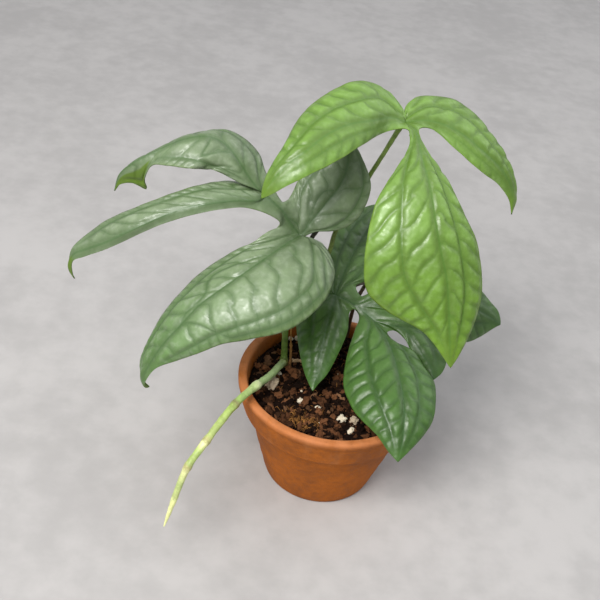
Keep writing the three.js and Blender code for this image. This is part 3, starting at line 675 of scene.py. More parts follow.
def soil_material(name, dark, light, roughness, pale=0.0):
    """Earth, bark or perlite. A vertex value called shade picks each crumb's own colour, and on
    the soil's bed it carries painted shade in the hollows.
    """
    material, tree, shader = new_material(name, roughness, 0.1)
    shade = mesh_value(tree, "shade")
    fine = noise_value(tree, object_place(tree), 700.0, 5.0, 0.7)
    factor = calculate(tree, "ADD", multiply(tree, shade, 0.8), multiply(tree, fine, 0.5))
    factor = remap(tree, factor, 0.25 - pale, 1.1 - pale)
    fill_inputs(tree, shader, {
        "Base Color": blend(tree, factor, rgba(dark), rgba(light)),
        "Normal": bump_normal(tree, fine, 0.0008),
    })
    return material


def stalk_material(name, colours, roughness, mottle):
    """A stalk whose colour changes along its length, from (share, colour) pairs."""
    material, tree, shader = new_material(name, roughness, 0.4)
    place = object_place(tree)
    along = mesh_value(tree, "along")
    wander = calculate(tree, "SUBTRACT", noise_value(tree, place, 350.0), 0.5)
    along = calculate(tree, "ADD", along, multiply(tree, wander, 0.03))
    ramp = add_node(tree, "ShaderNodeValToRGB", {"Fac": along})
    stops = ramp.color_ramp.elements
    for stop, (share, colour) in zip(stops, (colours[0], colours[-1])):
        stop.position = share
        stop.color = rgba(colour)
    for share, colour in colours[1:-1]:
        stops.new(share).color = rgba(colour)
    blotch = blotch_mask(tree, place, 160.0, 700.0)
    shade = remap(tree, blotch, 0.0, 1.0, 1.0 - mottle * 0.5, 1.0 + mottle * 0.25)
    tint = add_node(tree, "ShaderNodeCombineColor", {0: shade, 1: shade, 2: shade}).outputs[0]
    streaks = noise_value(tree, stretched(tree, place, (1.0, 1.0, 0.35)), 900.0)
    fill_inputs(tree, shader, {
        "Base Color": blend(tree, 1.0, ramp.outputs["Color"], tint, "MULTIPLY"),
        "Normal": bump_normal(tree, streaks, 0.0003),
    })
    return material


def blade_material(name, gloss, tip_mix, levels, body, deep, silver_and_sheen, vein, tip):
    """The upper face of a leaf: quilted and glossy, deeper in colour low down and along veins,
    partly its own colour and partly painted light: painted sheen high up and in lighter patches,
    painted shade in the vein creases.
    """
    material, tree, shader = new_material(name, gloss, 0.6)
    place = object_place(tree)
    # Deeper colour low down and lighter colour high up: partly the leaf's own colour, partly
    # painted sheen on its upper parts.
    height_tone_and_sheen = remap(tree, split(tree, place)["Z"], *levels)
    veins = place_group(tree, vein_group(), {"Width": 0.5})
    # Broad dark bands along the veins and midrib: painted shade in the creases of the quilting.
    crease_shade_lines = place_group(tree, vein_group(), {"Width": 2.4})
    low = calculate(tree, "MAXIMUM", crease_shade_lines["Veins"], crease_shade_lines["Midrib"])
    # Random lighter patches, partly silvery colour and partly painted sheen; they are glossier
    # too.
    silver_and_sheen_patches = remap(tree, noise_value(tree, place, 230.0), 0.42, 0.72)
    dark, light = (blend(tree, height_tone_and_sheen, rgba(deep, scale), rgba(body, scale))
                   for scale in (0.84, 1.14))
    # The layers over the blotched colour: painted sheen in random patches, painted shade in the
    # broad vein creases, the narrow vein lines and midrib, whose darker colour is partly their own
    # and partly painted shade in their grooves, then the margin and the tip.
    colour = tinted(
        tree, blend(tree, blotch_mask(tree, place, 22.0, 140.0), dark, light),
        (silver_and_sheen_patches, 0.35, rgba(silver_and_sheen)), (low, 0.62, rgba(deep, 0.5)),
        (veins["Veins"], 0.5, rgba(vein)), (veins["Midrib"], 0.6, rgba(vein)),
        (veins["Edge"], 0.3, rgba(tip)), (veins["Tip"], tip_mix, rgba(tip)))
    pebbles = add_node(
        tree, "ShaderNodeTexVoronoi", {"Vector": place, "Scale": 420.0}, feature="SMOOTH_F1",
    ).outputs["Distance"]
    swell = noise_value(tree, place, 110.0, 2.0)
    relief = calculate(
        tree, "SUBTRACT", multiply(tree, swell, 2.0), multiply(tree, pebbles, 0.3))
    fill_inputs(tree, shader, {
        "Base Color": colour,
        "Roughness": remap(tree, silver_and_sheen_patches, 0.0, 1.0, gloss + 0.06, gloss - 0.06),
        "Normal": bump_normal(tree, relief, 0.0004),
    })
    return material


def underside_material(name, body, vein, tip):
    """The lower face of a leaf: paler and duller, with raised veins."""
    material, tree, shader = new_material(name, 0.55, 0.35)
    place = object_place(tree)
    veins = place_group(tree, vein_group(), {"Width": 0.6})
    lines = calculate(tree, "MAXIMUM", veins["Veins"], veins["Midrib"])
    blotch = blotch_mask(tree, place, 40.0, 260.0)
    colour = tinted(
        tree, blend(tree, blotch, rgba(body, 0.86), rgba(body, 1.1)),
        (lines, 0.5, rgba(vein)), (veins["Tip"], 0.8, rgba(tip)))
    fill_inputs(tree, shader, {
        "Base Color": colour,
        "Normal": bump_normal(tree, noise_value(tree, place, 600.0), 0.0003),
    })
    return material


# Leaves

# Spacing of a blade's columns, its rows from rib to margin, and the fewest columns that half a
# lobe and the stretch between two lobes may have.
STATION = 1.15
BLADE_ROWS = 32
LOBE_COLUMNS = 8
BASE_COLUMNS = 4
# Height of the margin's waves, in millimetres.
MARGIN_WAVE = 0.18
# The share of a side's breadth at which its second long vein runs. A side that has none counts as
# this far away from it.
SECOND_LATERAL_SHARE = 0.9
FAR_AWAY = 9.0
# Widths and depths of the grooves that the veins press into the quilted blade.
MIDRIB_GROOVE = 2.0
LATERAL_GROOVE = 1.8
SECOND_GROOVE = 1.4
SECOND_DEPTH = 0.5
CROSS_GROOVE = 1.7
CROSS_DEPTH = 0.68
# The quilting is full where a side is this broad, and fades by this share at the margin.
FULL_BREADTH = 15
EDGE_FADE = 0.9
# How softly the colour of a fold starts, as a share of the side's breadth.
FOLD_BLUR = 0.05
# Distances within which a blade's points are joined and its slivers taken out.
WELD = 0.02
SLIVER = 0.01


def rib_frames(lobe, shares):
    """Points, directions, left sides and upper sides of a lobe at shares of its rib."""
    points = lobe["curve"].points(shares)
    along = lobe["curve"].tangents(shares)
    start, finish = (np.array(side, dtype=float) for side in lobe["leftward"])
    left = start + (finish - start) * np.asarray(shares)[:, None]
    left = unit(left - along * (left * along).sum(-1, keepdims=True))
    return points, along, left, np.cross(along, left)


def margin_points(lobe, side, places):
    """Margin points in space. A negative distance runs back from the rib's base."""
    along, out, drop = np.array(places, dtype=float).T[:, :, None]
    length = lobe["curve"].length
    shares = np.clip(along[:, 0] / length, 0, 1)
    points, forward, left, up = rib_frames(lobe, shares)
    beyond = along - shares[:, None] * length
    return points + forward * beyond + left * side * out - up * drop


def sector_outline(leaf, index):
    """The margin from one lobe's tip round the notch to the next lobe's tip."""
    lobes = leaf["lobes"]
    first, second = lobes[index], lobes[(index + 1) % len(lobes)]
    outline = SmoothCurve(np.vstack([
        first["rib"][-1],
        margin_points(first, 1, first["left"])[::-1],
        leaf["notches"][index],
        margin_points(second, -1, second["right"]),
        second["rib"][-1],
    ]))
    return first, second, outline, outline.share_of_knot(len(first["left"]) + 1)


def square_across(start, end, along):
    """How far points lie from others, square to directions."""
    across = end - start
    across = across - along * (across * along).sum(-1, keepdims=True)
    return np.linalg.norm(across, axis=-1)


def sector_columns(leaf, index):
    """Columns of a sector, from the first lobe's tip round the notch to the second's.

    Each column has its inner and outer ends, its upper side, its breadth square to the rib,
    its distance and its share along the rib (negative before the rib's base), its side, how
    far the veins draw together at its inner end, and its turn from the first lobe to the second.
    """
    first, second, outline, notch = sector_outline(leaf, index)
    fans = (first["fans"][0], second["fans"][1])
    parts = []

    def half(lobe, shares, side, end, fan, turn):
        points, tangents, _, up = rib_frames(lobe, shares)
        outer = outline.points(notch + (end - notch) * (fan + (1 - fan) * shares))
        rows = len(shares)
        parts.append((points, outer, up, square_across(points, outer, tangents),
                      shares * lobe["curve"].length, shares, np.full(rows, side),
                      np.zeros(rows), np.full(rows, turn)))

    count = max(LOBE_COLUMNS, round(first["curve"].length / STATION))
    half(first, np.linspace(1, 0, count + 1), 1.0, 0, fans[0], 0.0)

    together = first["at"] == second["at"]
    rachis = np.array(leaf["rachis"], dtype=float)
    arcs = (fans[0] * notch * outline.length, fans[1] * (1 - notch) * outline.length)
    walk = 0.0
    if not together:
        low, high = sorted((first["at"], second["at"]))
        walk = np.linalg.norm(np.diff(rachis[low:high + 1], axis=0), axis=1).sum()
    count = max(BASE_COLUMNS, round(max(walk, sum(arcs)) / STATION))
    shares = np.linspace(0, 1, count + 1)[1:-1]
    place = first["at"] + (second["at"] - first["at"]) * shares
    inner = np.stack([np.interp(place, range(len(rachis)), axis) for axis in rachis.T], -1)
    reach = fans[0] * (1 - shares) - fans[1] * shares
    on_first = reach > 0
    outer = outline.points(notch + (np.where(on_first, 0.0, 1.0) - notch) * np.abs(reach))
    bases = [rib_frames(lobe, np.zeros(1)) for lobe in (first, second)]
    up = unit(bases[0][3] + (bases[1][3] - bases[0][3]) * shares[:, None])
    breadths = [square_across(inner, outer, base[1]) for base in bases]
    breadth = breadths[0] + (breadths[1] - breadths[0]) * shares
    fan = np.where(on_first, *fans)
    back = 1 - np.abs(reach) / fan
    side = np.where(on_first, 1.0, -1.0)
    gather = smooth(0.05, 0.15, fan) if together else np.zeros(len(shares))
    parts.append((inner, outer, up, breadth, -back * np.where(on_first, *arcs), -0.1 * back, side,
                  1.0 + gather, shares))

    count = max(LOBE_COLUMNS, round(second["curve"].length / STATION))
    half(second, np.linspace(0, 1, count + 1), -1.0, 1, fans[1], 1.0)
    return [np.concatenate(column) for column in zip(*parts)]


def sector_rows(leaf, index, veins):
    """Places and vein values of every point of a sector, as arrays of rows by columns."""
    lobes = leaf["lobes"]
    first, second = lobes[index], lobes[(index + 1) % len(lobes)]
    inner, outer, up, breadth, along, course, side, gather, turn = sector_columns(leaf, index)

    def between(label, plain=None):
        left, right = (lobe.get(label, plain) for lobe in (first, second))
        return left[0] + (right[1] - left[0]) * turn

    row = np.linspace(0, 1, BLADE_ROWS + 1)[:, None]
    out = row * breadth

    lateral = out - veins["lateral"] * smooth(-0.1, 0.16, course) * breadth
    spread = smooth(-0.12, 0.1, course) * smooth(20, 30, breadth) * veins["second"]
    second_vein = out - SECOND_LATERAL_SHARE * spread * breadth
    far = np.where(spread > 0.05, second_vein, out + FAR_AWAY)

    offset = 0.25 * side * smooth(0, 4, out)
    wobble = 0.12 * np.sin(along / 17.0 + veins["seed"] + side) * smooth(0, 6, out)
    wobble = wobble + 0.1 * np.sin(out / 3.1 + 1.7 * np.floor(along / veins["spacing"]))
    lean = veins["lean"] * out + veins["bend"] * out * row
    inner_phase = (along - lean) / veins["spacing"] + offset + wobble
    outer_lean = veins["outer_lean"] * out
    outer_phase = (along - outer_lean) / veins["outer_spacing"] + 0.37 * side + wobble

    def crossing(phase, spacing):
        near = np.abs((phase + 0.5) % 1 - 0.5) * spacing
        return np.where(gather > 0.5, near * row ** 0.7, near)

    cross = np.where(
        lateral < 0, crossing(inner_phase, veins["spacing"]),
        crossing(outer_phase, veins["outer_spacing"]),
    )
    clear = np.where(gather > 0.5, gather - 1, smooth(0, 0.05, course))
    room = np.clip(breadth / FULL_BREADTH, 0, 1)
    edge = 1 - EDGE_FADE * smooth(0.84, 1, row)
    height = veins["height"] * between("reliefs") * room * edge
    height = height * hollow(out, MIDRIB_GROOVE) * hollow(lateral, LATERAL_GROOVE)
    height *= 1 - CROSS_DEPTH * clear * np.exp(-(cross / CROSS_GROOVE) ** 2)
    height *= 1 - SECOND_DEPTH * np.exp(-(far / SECOND_GROOVE) ** 2)

    place = inner + row[:, :, None] * (outer - inner)
    crown = between("crowns", PLAIN_CROWNS) * breadth * 4 * row * (1 - row)
    wave = MARGIN_WAVE * room * row ** 4 * np.sin(along * 0.36 + 2.0 * side + veins["seed"])
    place = place + (crown + wave)[:, :, None] * up
    start = np.where(side > 0, first["tips"][0], second["tips"][1])
    tip = smooth(start - veins["tip_blur"], start + veins["tip_blur"], course)
    fold = first.get("fold", 0)
    if fold:
        tip = tip * np.where(side > 0, smooth(fold - FOLD_BLUR, fold + FOLD_BLUR, row), 1)
    full = np.ones_like(out)
    return {
        "place": place,
        "height": height,
        "vein_distance": np.stack([out, lateral, far], -1),
        "vein_phase": np.stack([inner_phase, outer_phase, room * full], -1),
        "leaf_place": np.stack([row * full, tip * full, clear * full], -1),
    }


def blade_piece(name, leaf, veins, node, materials, thickness):
    """One leaf blade: a sheet of sectors, quilted between its veins and given a thickness."""
    for lobe in leaf["lobes"]:
        lobe["curve"] = SmoothCurve(lobe["rib"])
    sheet = bmesh.new()
    height = sheet.verts.layers.float.new("height")
    vectors = [sheet.verts.layers.float_vector.new(label)
               for label in ("vein_distance", "vein_phase", "leaf_place")]
    for index in range(len(leaf["lobes"])):
        rows = sector_rows(leaf, index, veins)
        columns = rows["place"].shape[1] - 1
        grid = bmesh.ops.create_grid(sheet, x_segments=columns, y_segments=BLADE_ROWS, size=0.5)
        for vert in grid["verts"]:
            at = (round((vert.co.y + 0.5) * BLADE_ROWS), round((vert.co.x + 0.5) * columns))
            vert.co = rows["place"][at]
            vert[height] = rows["height"][at]
            for layer in vectors:
                vert[layer] = rows[layer.name][at]
    bmesh.ops.reverse_faces(sheet, faces=sheet.faces)
    bmesh.ops.remove_doubles(sheet, verts=sheet.verts, dist=WELD)
    bmesh.ops.dissolve_degenerate(sheet, edges=sheet.edges, dist=SLIVER)
    sheet.normal_update()
    lifted = [(vert, vert.co + vert.normal * vert[height]) for vert in sheet.verts]
    for vert, place in lifted:
        vert.co = place
    blade = new_piece(name, sheet, materials, node)
    wall = blade.modifiers.new("Thickness", "SOLIDIFY")
    wall.thickness = thickness
    wall.offset = 0
    wall.material_offset = 1
    wall.material_offset_rim = 0


class PLANT_OT_leaves(bpy.types.Operator):
    """Build the three leaf blades"""

    bl_idname = "plant.leaves"
    bl_label = "Leaves"

    def execute(self, context):
        look = context.scene.amydrium_leaves
        olive = (0.085, 0.155, 0.005)
        lime = (0.15, 0.25, 0.01)
        # Each leaf's deep colour shows low down, partly as its own colour, and darker in its vein
        # creases as painted shade; its silver-and-sheen colour is partly painted sheen, and its
        # vein colour is partly painted shade in the grooves.
        young = blade_material(
            "Young leaf", gloss=0.38, tip_mix=0.5, levels=(0.15, 0.23), body=look.young,
            deep=(0.115, 0.235, 0.01), silver_and_sheen=(0.25, 0.4, 0.12), vein=(0.06, 0.15, 0.012),
            tip=lime)
        sage = blade_material(
            "Sage leaf", gloss=0.38, tip_mix=0.95, levels=(0.1, 0.17), body=look.sage,
            deep=(0.1, 0.2, 0.05), silver_and_sheen=(0.32, 0.38, 0.27), vein=(0.05, 0.11, 0.03),
            tip=olive)
        low = blade_material(
            "Low leaf", gloss=0.4, tip_mix=0.4, levels=(0.085, 0.13), body=look.low,
            deep=(0.036, 0.108, 0.007), silver_and_sheen=(0.11, 0.19, 0.06), vein=(0.022, 0.075, 0.01),
            tip=(0.07, 0.18, 0.02))
        for name, leaf, veins, node, slot, upper, body, vein, tip in (
            ("young_blade", YOUNG_LEAF, YOUNG_VEINS, "young_leaf_blade", "young_leaf_green",
             young, (0.26, 0.42, 0.1), (0.34, 0.5, 0.16), lime),
            ("sage_blade", SAGE_LEAF, SAGE_VEINS, "sage_leaf_blade", "sage_leaf_green",
             sage, (0.16, 0.29, 0.03), (0.22, 0.36, 0.07), olive),
            ("low_blade", LOW_LEAF, LOW_VEINS, "low_leaf_blade", "low_leaf_green",
             low, (0.13, 0.26, 0.08), (0.18, 0.32, 0.12), lime),
        ):
            under = underside_material(upper.name + " underside", body, vein, tip)
            blade_piece(name, leaf, veins, node, (upper, under), look.thickness)
        return {"FINISHED"}


# Stems and stalks

STALK_SIDES = 20
STALK_UNEVENNESS = 0.12
STALK_MOTTLE = 0.5
RING_STEP = 1.3
LEAST_RINGS = 4
# A rounded end: how far its rings stand from it and how wide they are, as shares of its radius.
CAP_REACH = (0.0, 0.12, 0.45, 1.0)
CAP_WIDTH = (0.0, 0.55, 0.88, 1.0)
# A stalk's radii are read at this many places and averaged over this many of them.
RADIUS_SAMPLES = 400
RADIUS_BLUR = 5


def transported(tangents):
    """Side directions along a curve that don't twist round it."""
    start = Vector(tangents[0]).orthogonal()
    sides = [start.normalized()]
    for tangent in tangents[1:]:
        side = sides[-1] - Vector(tangent) * sides[-1].dot(Vector(tangent))
        sides.append(side.normalized())
    return np.array(sides)


def tube_widths(radii, reach):
    """Radii at shares of a stalk's length, with soft steps between the given ones."""
    shares, widths = zip(*radii)
    fine = np.linspace(0, 1, RADIUS_SAMPLES)
    padded = np.pad(np.interp(fine, shares, widths), RADIUS_BLUR // 2, mode="edge")
    kernel = np.ones(RADIUS_BLUR) / RADIUS_BLUR
    width = np.interp(reach, fine, np.convolve(padded, kernel, mode="valid"))
    width[:len(CAP_WIDTH)] *= CAP_WIDTH
    width[-len(CAP_WIDTH):] *= CAP_WIDTH[::-1]
    return width


def add_tube(sheet, path, radii, sides, ring_step=RING_STEP, uneven=0.0):
    """Adds a round stalk along a path, closed and rounded at both ends."""
    curve = SmoothCurve(path)
    along = sheet.verts.layers.float.get("along") or sheet.verts.layers.float.new("along")
    first = np.array(CAP_REACH) * radii[0][1]
    last = curve.length - np.array(CAP_REACH[::-1]) * radii[-1][1]
    count = max(LEAST_RINGS, round(curve.length / ring_step))
    middle = np.linspace(first[-1], last[0], count + 1)
    reach = np.concatenate([first, middle[1:-1], last]) / curve.length
    centres = curve.points(reach)
    tangents = curve.tangents(reach)
    side = transported(tangents)
    other = np.cross(tangents, side)
    width = tube_widths(radii, reach)
    rings = len(reach) - 1
    grid = bmesh.ops.create_grid(sheet, x_segments=rings, y_segments=sides, size=0.5)
    for vert in grid["verts"]:
        ring = round((vert.co.x + 0.5) * rings)
        turn = 2 * math.pi * round((vert.co.y + 0.5) * sides) / sides
        spread = math.cos(turn) * side[ring] + math.sin(turn) * other[ring]
        point = centres[ring] + spread * width[ring]
        if uneven:
            bumps = noise.noise(Vector(point) * 0.5)
            point = point + spread * width[ring] * uneven * bumps
        vert.co = point
        vert[along] = reach[ring]
    bmesh.ops.remove_doubles(sheet, verts=grid["verts"], dist=0.004)


def stalk_piece(stalk, settings):
    colours = [(share, getattr(settings, colour) if isinstance(colour, str) else colour)
               for share, colour in stalk["colours"]]
    material = stalk_material(
        stalk["material"], colours, stalk["roughness"], stalk.get("mottle", STALK_MOTTLE))
    sheet = bmesh.new()
    add_tube(sheet, stalk["path"], stalk["radii"], stalk.get("sides", STALK_SIDES),
             uneven=stalk.get("uneven", STALK_UNEVENNESS))
    bmesh.ops.recalc_face_normals(sheet, faces=sheet.faces)
    new_piece(stalk["piece"], sheet, (material,), stalk["node"])


class PLANT_OT_stems(bpy.types.Operator):
    """Build the stem, the runner, the dry parts and the leaf stalks"""

    bl_idname = "plant.stems"
    bl_label = "Stems"

    def execute(self, context):
        for stalk in STALKS:
            stalk_piece(stalk, context.scene.amydrium_stems)
        return {"FINISHED"}


# Pot

POT_STEPS = 128
BODY_ROWS = 14
BODY_WAVE = 0.14
# The band's foot is rounded, its side is nearly straight, and its lip is rounded both ways.
BAND_ROUNDING = 1.3
BAND_SIDE = [(57.2, 62), (58.2, 67), (59.2, 71.6), (59.25, 72.2), (59.7, 73.1)]
DRAIN_ROUNDING = 0.5


def arc(centre, radius, start, finish, steps):
    """Points of a round edge in the pot's outline, as (distance out, height)."""
    turns = np.radians(np.linspace(start, finish, steps + 1))
    return [(centre[0] + radius * math.cos(turn), centre[1] + radius * math.sin(turn))
            for turn in turns]


def spun(sheet, profile, steps):
    """Turns an outline of (distance out, height) points round the pot's axis."""
    verts = [sheet.verts.new((out, 0, height)) for out, height in profile]
    edges = [sheet.edges.new(pair) for pair in zip(verts, verts[1:])]
    bmesh.ops.spin(
        sheet, geom=verts + edges, cent=(0, 0, 0), axis=(0, 0, 1), dvec=(0, 0, 0),
        angle=2 * math.pi, steps=steps, use_merge=True, use_normal_flip=False,
        use_duplicate=False)
    bmesh.ops.remove_doubles(sheet, verts=sheet.verts, dist=0.002)
    bmesh.ops.recalc_face_normals(sheet, faces=sheet.faces)


def pot_outline():
    """The pot's outline from the drain hole up the outside, over the lip and down inside."""
    foot = arc((FOOT_RADIUS - FOOT_ROUNDING, FOOT_ROUNDING), FOOT_ROUNDING, -90, -15, 5)
    start = FOOT_RADIUS + 0.2
    body = []
    for i in range(1, BODY_ROWS):
        out = start + (BODY_TOP_RADIUS - FOOT_RADIUS - 0.2) * i / BODY_ROWS
        height = FOOT_ROUNDING + (BAND_FOOT - FOOT_ROUNDING) * i / BODY_ROWS
        body.append((out + BODY_WAVE * math.sin(i * 2.1), height))
    step = [(BODY_TOP_RADIUS, BAND_FOOT - 0.6), (BODY_TOP_RADIUS + 0.7, BAND_FOOT + 0.05)]
    step += arc((BAND_FOOT_RADIUS - BAND_ROUNDING, BAND_FOOT + 1.4), BAND_ROUNDING, -85, 0, 4)
    lip_height = POT_HEIGHT - LIP_ROUNDING
    lip = arc((RIM_RADIUS - LIP_ROUNDING, lip_height), LIP_ROUNDING, 5, 90, 6)
    lip += arc((RIM_RADIUS - LIP_WALL + LIP_ROUNDING, lip_height), LIP_ROUNDING, 90, 175, 6)
    inside = [
        (53.2, 70),
        (BAND_FOOT_RADIUS - BODY_WALL, BAND_FOOT + 2),
        (BODY_TOP_RADIUS - BODY_WALL, BAND_FOOT - 4),
        (FOOT_RADIUS - BODY_WALL + 1, FLOOR_THICKNESS),
    ]
    below = [(DRAIN_RADIUS, DRAIN_ROUNDING), (DRAIN_RADIUS + DRAIN_ROUNDING, 0)]
    drain = [
        (DRAIN_RADIUS + DRAIN_ROUNDING, FLOOR_THICKNESS),
        (DRAIN_RADIUS, FLOOR_THICKNESS - DRAIN_ROUNDING),
        (DRAIN_RADIUS, DRAIN_ROUNDING),
    ]
    return below + foot + body + step + BAND_SIDE + lip + inside + drain


class PLANT_OT_pot(bpy.types.Operator):
    """Build the terracotta pot"""

    bl_idname = "plant.pot"
    bl_label = "Pot"

    def execute(self, context):
        sheet = bmesh.new()
        spun(sheet, pot_outline(), POT_STEPS)
        for vert in sheet.verts:
            turn = math.atan2(vert.co.y, vert.co.x)
            sway = 0.16 * math.sin(2 * turn + 0.8) + 0.08 * math.sin(5 * turn + vert.co.z / 9)
            push = sway * min(1, vert.co.z / 30)
            vert.co += Vector((math.cos(turn), math.sin(turn), 0)) * push
        clay = clay_material(context.scene.amydrium_pot)
        new_piece("terracotta_pot", sheet, (clay,), "pot")
        return {"FINISHED"}


# Soil

SOIL_STEPS = 112
SOIL_RING_STEP = 1.1
SOIL_UNDERSIDE = FLOOR_THICKNESS + 0.3
# Width of the level edge of the soil beside the pot.
SOIL_EDGE = 2
# How far from the middle of the pot loose things may lie.
CRUMB_REACH = SOIL_RADIUS - SOIL_EDGE
CHIP_REACH = 48
GRAIN_REACH = 47
STRAY_REACH = 46
FIBRE_REACH = 50
EXTRA_CHIPS = 26
EXTRA_GRAINS = 12
CLUMP_FIBRES = 470
STRAY_FIBRES = 90
FIBRE_POINTS = 5
FIBRE_RADII = [(0, 0.13), (0.5, 0.16), (1, 0.08)]


def soil_height(x, y):
    """The level of the soil at a place on it."""
    place = Vector((x, y, 0))
    lumps = noise.fractal(place * 0.09, 1.0, 2.1, 4)
    grit = noise.fractal(place * 0.42 + Vector((7, 3, 1)), 0.9, 2.2, 3)
    return SOIL_LEVEL + 1.5 * lumps + 0.8 * grit - 0.4


def soil_bed():
    """The body of the soil, level at its edge and lumpy on its top, and darker where it lies
    lower: painted shade in its hollows and along the wall.
    """
    bed = bmesh.new()
    bed.verts.layers.float.new("shade")
    rings = round(SOIL_RADIUS / SOIL_RING_STEP)
    top = [(SOIL_RADIUS * i / rings, SOIL_LEVEL) for i in range(rings + 1)]
    skirt = [(50.7, 58.4), (46.8, 52.6), (32.4, SOIL_UNDERSIDE), (0, SOIL_UNDERSIDE)]
    spun(bed, top + skirt, SOIL_STEPS)
    shade = bed.verts.layers.float["shade"]
    for vert in bed.verts:
        if vert.co.z < SOIL_LEVEL - 0.1:
            continue
        near_wall = smooth(SOIL_RADIUS - SOIL_EDGE, SOIL_RADIUS, vert.co.xy.length)
        level = soil_height(vert.co.x, vert.co.y)
        vert.co.z = level + (SOIL_LEVEL - 1 - level) * near_wall
        # Lower soil gets a darker colour: painted shade in the hollows and along the wall.
        vert[shade] = 0.1 + 0.25 * (vert.co.z - SOIL_LEVEL)
    return bed


def random_spot(draw, limit):
    """A random place on the soil, within a distance of its middle."""
    reach = limit * math.sqrt(draw.random())
    turn = 2 * math.pi * draw.random()
    return reach * math.cos(turn), reach * math.sin(turn)


def on_soil(x, y, lift):
    return x, y, soil_height(x, y) + lift


def add_part(sheet, part):
    """Moves a small finished bmesh into a large one, and lets the small one go."""
    scrap = bpy.data.meshes.new("scrap")
    part.to_mesh(scrap)
    part.free()
    sheet.from_mesh(scrap)
    bpy.data.meshes.remove(scrap)


def add_crumb(sheet, place, radii, turn, fineness, shade, roughness):
    """Adds one rough grain. Its shade picks its colour in its material."""
    grain = bmesh.new()
    layer = grain.verts.layers.float.new("shade")
    bmesh.ops.create_icosphere(grain, subdivisions=fineness, radius=1.0)
    seed = Vector((place[0] * 3.1, place[1] * 2.7, shade * 9))
    spin = Matrix.Rotation(turn[0], 3, "X") @ Matrix.Rotation(turn[1], 3, "Y")
    spin = Matrix.Rotation(turn[2], 3, "Z") @ spin
    for vert in grain.verts:
        swell = 1 + roughness * noise.noise(vert.co * 1.6 + seed)
        swell += 0.5 * roughness * noise.noise(vert.co * 4 + seed)
        local = Vector([part * radius * swell for part, radius in zip(vert.co, radii)])
        vert.co = spin @ local + Vector(place)
        vert[layer] = shade
    add_part(sheet, grain)


def loose_crumbs(draw, count):
    crumbs = bmesh.new()
    for _ in range(count):
        x, y = random_spot(draw, CRUMB_REACH)
        size = 0.4 + 2.1 * draw.random() ** 3
        add_crumb(
            crumbs, on_soil(x, y, size * (0.55 * draw.random() - 0.1)),
            (size * (1 + draw.random()), size, size * 0.8),
            [6.3 * draw.random() for _ in range(3)],
            3 if size > 1.6 else 2 if size > 0.8 else 1, draw.random() ** 1.8, 0.7)
    return crumbs


def bark_chips(draw):
    """The chips seen on the soil, with smaller ones among them."""
    chips = bmesh.new()
    chosen = [(x, y, long * 0.9, wide * 0.9, turn) for x, y, long, wide, turn in BARK]
    for _ in range(EXTRA_CHIPS):
        spot = random_spot(draw, CHIP_REACH)
        chosen.append((*spot, 1.5 + 2.2 * draw.random(), 0.7 + 0.9 * draw.random(),
                       360 * draw.random()))
    for x, y, long, wide, turn in chosen:
        add_crumb(
            chips, on_soil(x, y, 0.6), (long, wide, 0.75 + 0.3 * draw.random()),
            (0.7 * (draw.random() - 0.5), 0.7 * (draw.random() - 0.5), math.radians(turn)),
            3 if long > 3 else 2, draw.random(), 0.55)
    return chips


def perlite_grains(draw):
    """The pale chunks and the grains seen on the soil, with small grains among them."""
    grains = bmesh.new()
    for x, y, long, wide, turn in PALE_CHUNKS:
        add_crumb(grains, on_soil(x, y, 0.6 * wide), (long, wide, 0.85 * wide),
                  (0.3, -0.35, math.radians(turn)), 4, 0.12, 0.55)
    for x, y, long, wide, turn in PERLITE:
        add_crumb(grains, on_soil(x, y, 0.7 * wide), (long, wide, wide * 0.9),
                  (0.2, 0.1, math.radians(turn)), 3, 0.75 + 0.25 * draw.random(), 0.5)
    for _ in range(EXTRA_GRAINS):
        x, y = random_spot(draw, GRAIN_REACH)
        size = 0.4 + 0.5 * draw.random()
        add_crumb(grains, on_soil(x, y, 0.7 * size), (size * 1.3, size, size), (0, 0, 0), 2,
                  0.6 + 0.4 * draw.random(), 0.5)
    return grains


def fibre_path(draw, x, y):
    """A fibre's wandering path from a place on the soil, arched over its middle."""
    heading = 2 * math.pi * draw.random()
    lift = 0.3 + 1.9 * draw.random()
    path = []
    for step in range(FIBRE_POINTS):
        arch = lift * math.sin(math.pi * step / (FIBRE_POINTS - 1))
        path.append((x, y, soil_height(x, y) + arch + 0.1))
        heading += draw.gauss(0, 0.5)
        stride = 0.5 + 0.8 * draw.random()
        x += stride * math.cos(heading)
        y += stride * math.sin(heading)
        reach = math.hypot(x, y)
        if reach > FIBRE_REACH:
            x, y = x * FIBRE_REACH / reach, y * FIBRE_REACH / reach
    return path


def soil_fibres(draw):
    """A clump of fine fibres near the front of the pot, and a few strays."""
    fibres = bmesh.new()
    for number in range(CLUMP_FIBRES + STRAY_FIBRES):
        if number < CLUMP_FIBRES:
            x = FIBRE_CLUMP[0] + draw.gauss(0, 5.5)
            y = FIBRE_CLUMP[1] - 0.4 * (x - FIBRE_CLUMP[0]) + draw.gauss(0, 2.4)
        else:
            x, y = random_spot(draw, STRAY_REACH)
        path = fibre_path(draw, x, y)
        fibre = bmesh.new()
        shade = fibre.verts.layers.float.new("shade")
        add_tube(fibre, path, FIBRE_RADII, sides=4, ring_step=1.0)
        tone = draw.random()
        for vert in fibre.verts:
            vert[shade] = tone
        add_part(fibres, fibre)
    bmesh.ops.recalc_face_normals(fibres, faces=fibres.faces)
    return fibres


